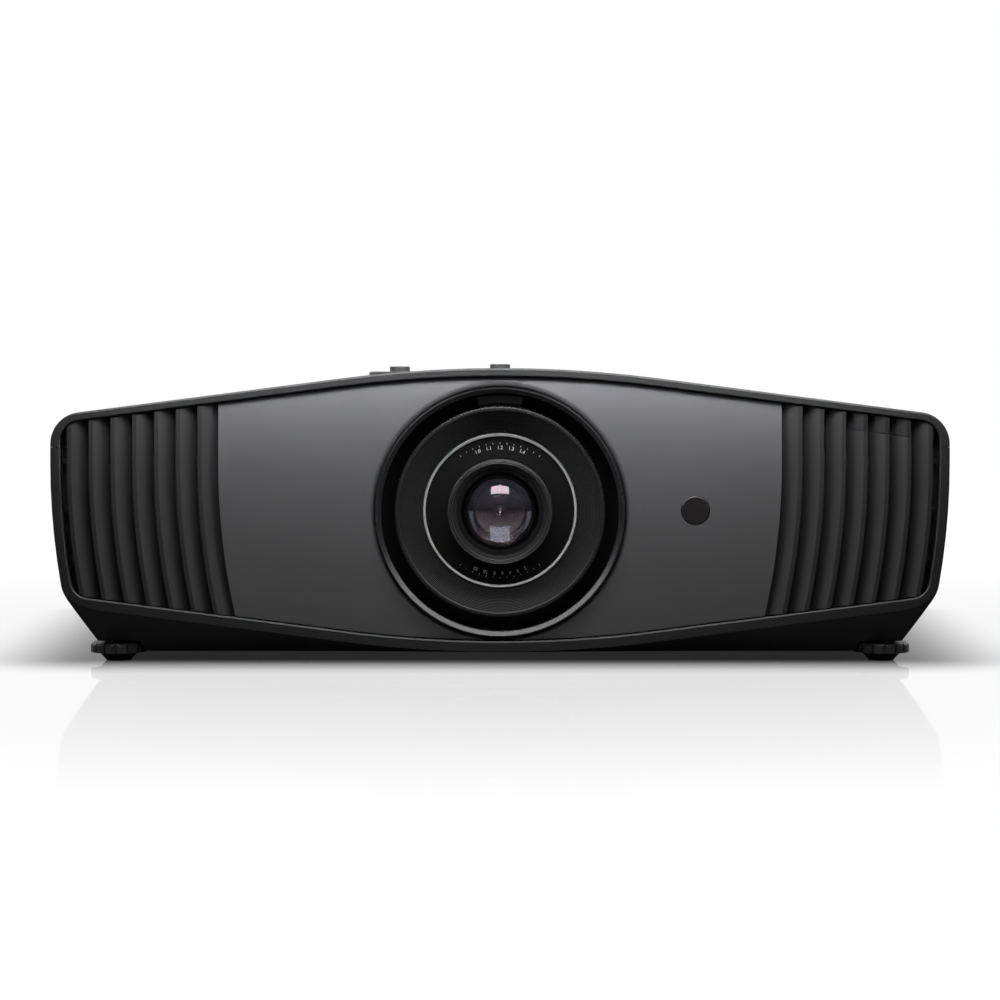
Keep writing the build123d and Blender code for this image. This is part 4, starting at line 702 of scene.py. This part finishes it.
class PROJECTOR_OT_trims(bpy.types.Operator):
    """Polished lip of the lens bezel and the thin rings turned into the front barrel"""

    bl_idname = "projector.trims"
    bl_label = "Bezel lip and barrel rings"

    def execute(self, context):
        reach, front = self.rim("lens_bezel", 1.0 * MM)
        lip = [
            (reach - 0.75 * MM, front + 0.3 * MM),
            (reach - 0.65 * MM, front - 0.05 * MM),
            (reach - 0.2 * MM, front - 0.05 * MM),
            (reach + 0.02 * MM, front + 0.3 * MM),
        ]
        bright = finish("polished_lip", (0.10, 0.10, 0.105), 0.28, 0.05, metallic=0.9, drift=0.03)
        make_piece("bezel_lip", *lathe(lip, 256), "case", "lens_rim", bright, False)
        reach, front = self.rim("front_barrel", 1.2 * MM)
        rings = []
        for inset in (0.35, 1.15, 2.0):
            outer = reach - inset * MM
            face = front - 0.12 * MM
            ridge = [
                (outer, front + 0.6 * MM),
                (outer, face + 0.05 * MM),
                (outer - 0.15 * MM, face),
                (outer - 0.3 * MM, face + 0.05 * MM),
                (outer - 0.3 * MM, front + 0.6 * MM),
            ]
            rings.append(lathe(ridge, 192))
        edge = finish("turned_edge", (0.16, 0.16, 0.165), 0.3, 0.05, metallic=0.9, drift=0.03)
        make_piece("barrel_rings", *joined(rings), "focus_group", "lens_black", edge, False)
        return {"FINISHED"}

    @staticmethod
    def rim(node, slice_depth):
        """Largest radius about the lens axis within a slice behind the node's front, and that front."""
        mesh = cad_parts[node].data
        co = np.empty(len(mesh.vertices) * 3, dtype=np.float32)
        mesh.vertices.foreach_get("co", co)
        co = co.reshape(-1, 3)
        front = float(co[:, 1].min())
        near = co[co[:, 1] < front + slice_depth]
        return float(np.hypot(near[:, 0] - LENS_X, near[:, 2] - LENS_Z).max()), front


class PROJECTOR_OT_fixings(bpy.types.Operator):
    """Case screws, socket contacts and the marks on the keys"""

    bl_idname = "projector.fixings"
    bl_label = "Screws, contacts and key marks"

    def execute(self, context):
        steel = finish("screw_steel", (0.07, 0.07, 0.072), 0.35, 0.1, metallic=0.9)
        low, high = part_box("rear_panel")
        head = context.scene.projector_sizes.screw_head
        middle = 0.5 * (low.z + high.z)
        ends = (-REAR_SCREW_X, REAR_SCREW_X)
        rear = [(x, high.y, middle + rise) for x in ends for rise in REAR_SCREW_RISES]
        rear += [(x, high.y, middle + TOP_SCREW_RISE) for x in TOP_SCREW_PLACES]
        screws = joined([self.screw(place, (0, 1, 0), head) for place in rear])
        make_piece("rear_screws", *screws, "case", "steel", steel, False)
        hatch_low, hatch_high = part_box("lamp_cover")
        floor = hatch_low.z
        under = [(x, y, floor) for x in (-UNDER_SCREW_X, UNDER_SCREW_X) for y in UNDER_SCREW_Y]
        under += [(0.0, y, floor) for y in MIDDLE_SCREW_Y]
        hatch_x = 0.5 * (hatch_low.x + hatch_high.x)
        under += [(hatch_x, y, floor) for y in (hatch_low.y + 6 * MM, hatch_high.y - 6 * MM)]
        screws = joined([self.screw(place, (0, 0, -1), head) for place in under])
        make_piece("under_screws", *screws, "case", "steel", steel, False)
        self.contacts()
        self.marks()
        return {"FINISHED"}

    @staticmethod
    def screw(place, axis, head):
        """Pan head: the outline is a low dome, and a cross sinks in along both diameters."""
        s = np.linspace(0.999, 0.02, 16)
        dome = np.stack([head * s, 0.9 * MM * np.sqrt(1 - 0.8 * s**2)], axis=-1)
        outline = np.concatenate([[(0.02 * head, -0.4 * MM), (head, -0.4 * MM)], dome])

        def cross(r, h, t):
            """Depth of the cross, full where the nearer diameter is close and the radius is small."""
            near = np.minimum(np.abs(r * np.cos(t)), np.abs(r * np.sin(t)))
            arm = np.clip((0.16 * head - near) / (0.06 * head), 0, 1)
            reach = np.clip((0.62 * head - r) / (0.1 * head), 0, 1)
            return -0.7 * MM * arm * reach * (h > 0)

        return turned(outline, 48, place, axis, cross)

    @staticmethod
    def contacts():
        """Eight gold contacts in the network socket."""
        gold = finish("contact_gold", (0.78, 0.55, 0.20), 0.3, 0.05, metallic=1.0)
        low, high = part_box("lan_socket")
        centre = 0.5 * (low.x + high.x)
        pins = [(centre + (k - 3.5) * 1.02 * MM, high.y - 7.0 * MM, high.z - 2.4 * MM) for k in range(8)]
        make_piece(
            "network_contacts",
            *bars(pins, (0.22 * MM, 3.0 * MM, 0.18 * MM)),
            "case",
            "connector_metal",
            gold,
            False,
        )

    @staticmethod
    def marks():
        """Arrowheads on the navigation ring: small triangles a hair above its face, one each way."""
        paint = finish("key_mark", (0.55, 0.55, 0.56), 0.5, 0.1)
        low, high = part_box("navigation_ring")
        cx, cz = 0.5 * (low.x + high.x), 0.5 * (low.z + high.z)
        reach = 0.5 * (high.x - low.x) - 3.4 * MM
        shape = np.array([(0.0, 1.3), (1.3, -0.8), (-1.3, -0.8)]) * MM
        points, quads = [], []
        for k in range(4):
            turn = k * math.pi / 2
            spin = np.array([[math.cos(turn), -math.sin(turn)], [math.sin(turn), math.cos(turn)]])
            flat = (shape + [0, reach]) @ spin.T
            for lift in (-0.05 * MM, 0.04 * MM):
                ring = [(cx + x, high.y + lift, cz + z) for x, z in flat]
                points += ring + [ring[-1]]
            n = 8 * k
            quads += [(n, n + 1, n + 2, n + 2), (n + 4, n + 6, n + 5, n + 5)]
            quads += [(n + a, n + b, n + b + 4, n + a + 4) for a, b in ((1, 0), (2, 1), (0, 2))]
        faces = [tuple(dict.fromkeys(q)) for q in quads]
        mesh = bpy.data.meshes.new("navigation_marks")
        mesh.from_pydata(points, [], faces)
        mesh.materials.append(paint)
        piece = bpy.data.objects.new("navigation_marks", mesh)
        bpy.context.scene.collection.objects.link(piece)
        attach(piece, "navigation_button")


class PROJECTOR_OT_stage(bpy.types.Operator):
    """Floor, backdrop, lights, surround and camera"""

    bl_idname = "projector.stage"
    bl_label = "Studio"

    def execute(self, context):
        studio = context.scene.projector_studio
        front = CAD_BOX[0][1]
        floor = self.sheet(context, "studio_floor", [(-7, -4, 0), (7, -4, 0), (7, 5, 0), (-7, 5, 0)])
        floor.data.materials.append(self.floor_paint(studio))
        wall = self.sheet(context, "studio_backdrop", [(-7, 5, 0), (7, 5, 0), (7, 5, 6), (-7, 5, 6)])
        wall.data.materials.append(self.glow("backdrop_white", (1, 1, 1), studio.backdrop))
        # name, place, target, width and height, power
        before = (0, front, 0.09)
        lights = [
            ("softbox_over", (0, 0.55, 1.6), (0, 0.25, 0), (2.4, 1.8), studio.over),
            ("softbox_lens", (0, front - 0.45, 0.50), (0, front, LENS_Z), (0.34, 0.38), studio.fill),
            ("strip_front", (0, front - 0.055, 0.212), (0, front, 0.12), (0.50, 0.03), studio.strip),
            ("softbox_left", (-1.1, front - 0.7, 0.5), before, (0.5, 0.9), studio.side),
            ("softbox_right", (1.1, front - 0.7, 0.5), before, (0.5, 0.9), studio.side),
            ("softbox_rear", (0, 1.5, 0.9), (0, 0.17, 0.08), (1.2, 0.6), studio.rear),
            ("softbox_flank_left", (-1.4, 0.35, 0.5), (-0.24, 0, 0.08), (0.8, 0.6), studio.flank),
            ("softbox_flank_right", (1.4, 0.35, 0.5), (0.24, 0, 0.08), (0.8, 0.6), studio.flank),
        ]
        for light in lights:
            self.light(context, *light)
        world = bpy.data.worlds.new("soft_surround")
        world.use_nodes = True
        nodes, links = world.node_tree.nodes, world.node_tree.links
        dim = nodes["Background"]
        dim.inputs["Color"].default_value = (1, 1, 1, 1)
        dim.inputs["Strength"].default_value = studio.world
        white = nodes.new("ShaderNodeBackground")
        white.inputs["Color"].default_value = (1, 1, 1, 1)
        path = nodes.new("ShaderNodeLightPath")
        seen = nodes.new("ShaderNodeMixShader")
        links.new(path.outputs["Is Camera Ray"], seen.inputs[0])
        links.new(dim.outputs[0], seen.inputs[1])
        links.new(white.outputs[0], seen.inputs[2])
        links.new(seen.outputs[0], nodes["World Output"].inputs["Surface"])
        context.scene.world = world
        context.scene.view_settings.view_transform = "Standard"
        data = bpy.data.cameras.new("front_camera")
        data.sensor_width = 36.0
        data.lens = studio.focal
        data.shift_y = studio.shift
        data.clip_end = 30.0
        camera = bpy.data.objects.new("front_camera", data)
        camera.location = (0, front - studio.distance, studio.height)
        camera.rotation_euler = (math.radians(90), 0, 0)
        context.scene.collection.objects.link(camera)
        context.scene.camera = camera
        return {"FINISHED"}

    @staticmethod
    def sheet(context, name, corners):
        """Flat stage sheet from its four corners."""
        mesh = bpy.data.meshes.new(name)
        mesh.from_pydata(corners, [], [(0, 1, 2, 3)])
        sheet = bpy.data.objects.new(name, mesh)
        context.scene.collection.objects.link(sheet)
        return sheet

    @staticmethod
    def glow(name, colour, strength):
        """Plain self-lit stage paint."""
        material = bpy.data.materials.new(name)
        material.use_nodes = True
        nodes, links = material.node_tree.nodes, material.node_tree.links
        nodes.remove(nodes["Principled BSDF"])
        glow = nodes.new("ShaderNodeEmission")
        glow.inputs["Color"].default_value = (*colour, 1)
        glow.inputs["Strength"].default_value = strength
        links.new(glow.outputs[0], nodes["Material Output"].inputs["Surface"])
        return material

    @staticmethod
    def vector_step(material, operation, value, other):
        """Vector operation on a socket with a plain vector; returns its output socket."""
        node = material.node_tree.nodes.new("ShaderNodeVectorMath")
        node.operation = operation
        material.node_tree.links.new(value, node.inputs[0])
        node.inputs[1].default_value = other
        return node.outputs[0]

    def floor_paint(self, studio):
        """Gloss floor: glow, matt and mirror, shaded under the case, darker in what it throws back."""
        material = bpy.data.materials.new("floor_gloss")
        material.use_nodes = True
        nodes, links = material.node_tree.nodes, material.node_tree.links
        nodes.remove(nodes["Principled BSDF"])
        place = nodes.new("ShaderNodeNewGeometry")
        away = nodes.new("ShaderNodeVectorMath")
        away.operation = "LENGTH"
        links.new(place.outputs["Position"], away.inputs[0])
        spread = nodes.new("ShaderNodeMapRange")
        spread.interpolation_type = "SMOOTHSTEP"
        spread.inputs["From Min"].default_value = GLOW_NEAR
        spread.inputs["From Max"].default_value = GLOW_FAR
        spread.inputs["To Min"].default_value = studio.floor_glow
        links.new(away.outputs["Value"], spread.inputs["Value"])
        # contact shadow: fades with the distance of a place from the case's outline, drawn in a little
        half = [0.5 * (CAD_BOX[1][k] - CAD_BOX[0][k]) - SHADOW_INSET for k in (0, 1)]
        outside = self.vector_step(material, "ABSOLUTE", place.outputs["Position"], (0, 0, 0))
        outside = self.vector_step(material, "SUBTRACT", outside, (*half, 0))
        outside = self.vector_step(material, "MAXIMUM", outside, (0, 0, 0))
        gap = nodes.new("ShaderNodeVectorMath")
        gap.operation = "LENGTH"
        links.new(outside, gap.inputs[0])
        shade = nodes.new("ShaderNodeMapRange")
        shade.interpolation_type = "SMOOTHSTEP"
        shade.inputs["From Max"].default_value = SHADOW_REACH
        shade.inputs["To Min"].default_value = 0.03
        links.new(gap.outputs["Value"], shade.inputs["Value"])
        shaded = nodes.new("ShaderNodeMath")
        shaded.operation = "MULTIPLY"
        links.new(spread.outputs[0], shaded.inputs[0])
        links.new(shade.outputs[0], shaded.inputs[1])
        glow = nodes.new("ShaderNodeEmission")
        links.new(shaded.outputs[0], glow.inputs["Strength"])
        matt = nodes.new("ShaderNodeBsdfDiffuse")
        matt.inputs["Color"].default_value = (*studio.floor, 1)
        mirror = nodes.new("ShaderNodeBsdfGlossy")
        mirror.inputs["Roughness"].default_value = 0.05
        mixed = nodes.new("ShaderNodeMixShader")
        share = nodes.new("ShaderNodeMapRange")
        share.inputs["From Min"].default_value = MIRROR_NEAR
        share.inputs["From Max"].default_value = MIRROR_FAR
        share.inputs["To Min"].default_value = studio.floor_mirror
        share.inputs["To Max"].default_value = 0.0
        links.new(away.outputs["Value"], share.inputs["Value"])
        links.new(share.outputs[0], mixed.inputs[0])
        total = nodes.new("ShaderNodeAddShader")
        links.new(glow.outputs[0], total.inputs[0])
        links.new(matt.outputs[0], total.inputs[1])
        links.new(total.outputs[0], mixed.inputs[1])
        links.new(mirror.outputs[0], mixed.inputs[2])
        dim = nodes.new("ShaderNodeBsdfDiffuse")
        dim.inputs["Color"].default_value = (studio.floor_throw,) * 3 + (1,)
        path = nodes.new("ShaderNodeLightPath")
        switch = nodes.new("ShaderNodeMixShader")
        links.new(path.outputs["Is Camera Ray"], switch.inputs[0])
        links.new(dim.outputs[0], switch.inputs[1])
        links.new(mixed.outputs[0], switch.inputs[2])
        links.new(switch.outputs[0], nodes["Material Output"].inputs["Surface"])
        return material

    @staticmethod
    def light(context, name, place, target, size, power):
        """Rectangular softbox at a place, aimed at a target."""
        data = bpy.data.lights.new(name, "AREA")
        data.shape = "RECTANGLE"
        data.size, data.size_y = size
        data.energy = power
        lamp = bpy.data.objects.new(name, data)
        lamp.location = place
        lamp.rotation_euler = (Vector(target) - Vector(place)).to_track_quat("-Z", "Y").to_euler()
        lamp.visible_camera = False
        context.scene.collection.objects.link(lamp)
        return lamp


class PROJECTOR_PT_panel(bpy.types.Panel):
    """Sizes, colours and steps of the projector"""

    bl_idname = "PROJECTOR_PT_panel"
    bl_label = "Home projector"
    bl_space_type = "VIEW_3D"
    bl_region_type = "UI"
    bl_category = "Projector"

    def draw(self, context):
        for settings in ("projector_sizes", "projector_colours", "projector_studio"):
            box = self.layout.box()
            group_of = getattr(context.scene, settings)
            for key in group_of.bl_rna.properties.keys():
                if key not in {"rna_type", "name"}:
                    box.prop(group_of, key)
        for step in STEPS:
            self.layout.operator(step.bl_idname)


SETTINGS = {
    "projector_sizes": ProjectorSizes,
    "projector_colours": ProjectorColours,
    "projector_studio": ProjectorStudio,
}
STEPS = (
    PROJECTOR_OT_case_finish,
    PROJECTOR_OT_lens_finish,
    PROJECTOR_OT_inside_finish,
    PROJECTOR_OT_focus_ring,
    PROJECTOR_OT_lens_glass,
    PROJECTOR_OT_lens_scale,
    PROJECTOR_OT_trims,
    PROJECTOR_OT_fixings,
    PROJECTOR_OT_stage,
)


def register():
    """Registers the settings, the steps and the panel."""
    for settings in SETTINGS.values():
        bpy.utils.register_class(settings)
    for name, settings in SETTINGS.items():
        setattr(bpy.types.Scene, name, PointerProperty(type=settings))
    for step in STEPS:
        bpy.utils.register_class(step)
    bpy.utils.register_class(PROJECTOR_PT_panel)


def unregister():
    """Takes away what register added."""
    bpy.utils.unregister_class(PROJECTOR_PT_panel)
    for step in reversed(STEPS):
        bpy.utils.unregister_class(step)
    for name, settings in reversed(SETTINGS.items()):
        delattr(bpy.types.Scene, name)
        bpy.utils.unregister_class(settings)


def main():
    """Runs every step in order."""
    register()
    for step in STEPS:
        area, call = step.bl_idname.split(".")
        getattr(getattr(bpy.ops, area), call)()


if __name__ == "__main__":
    main()
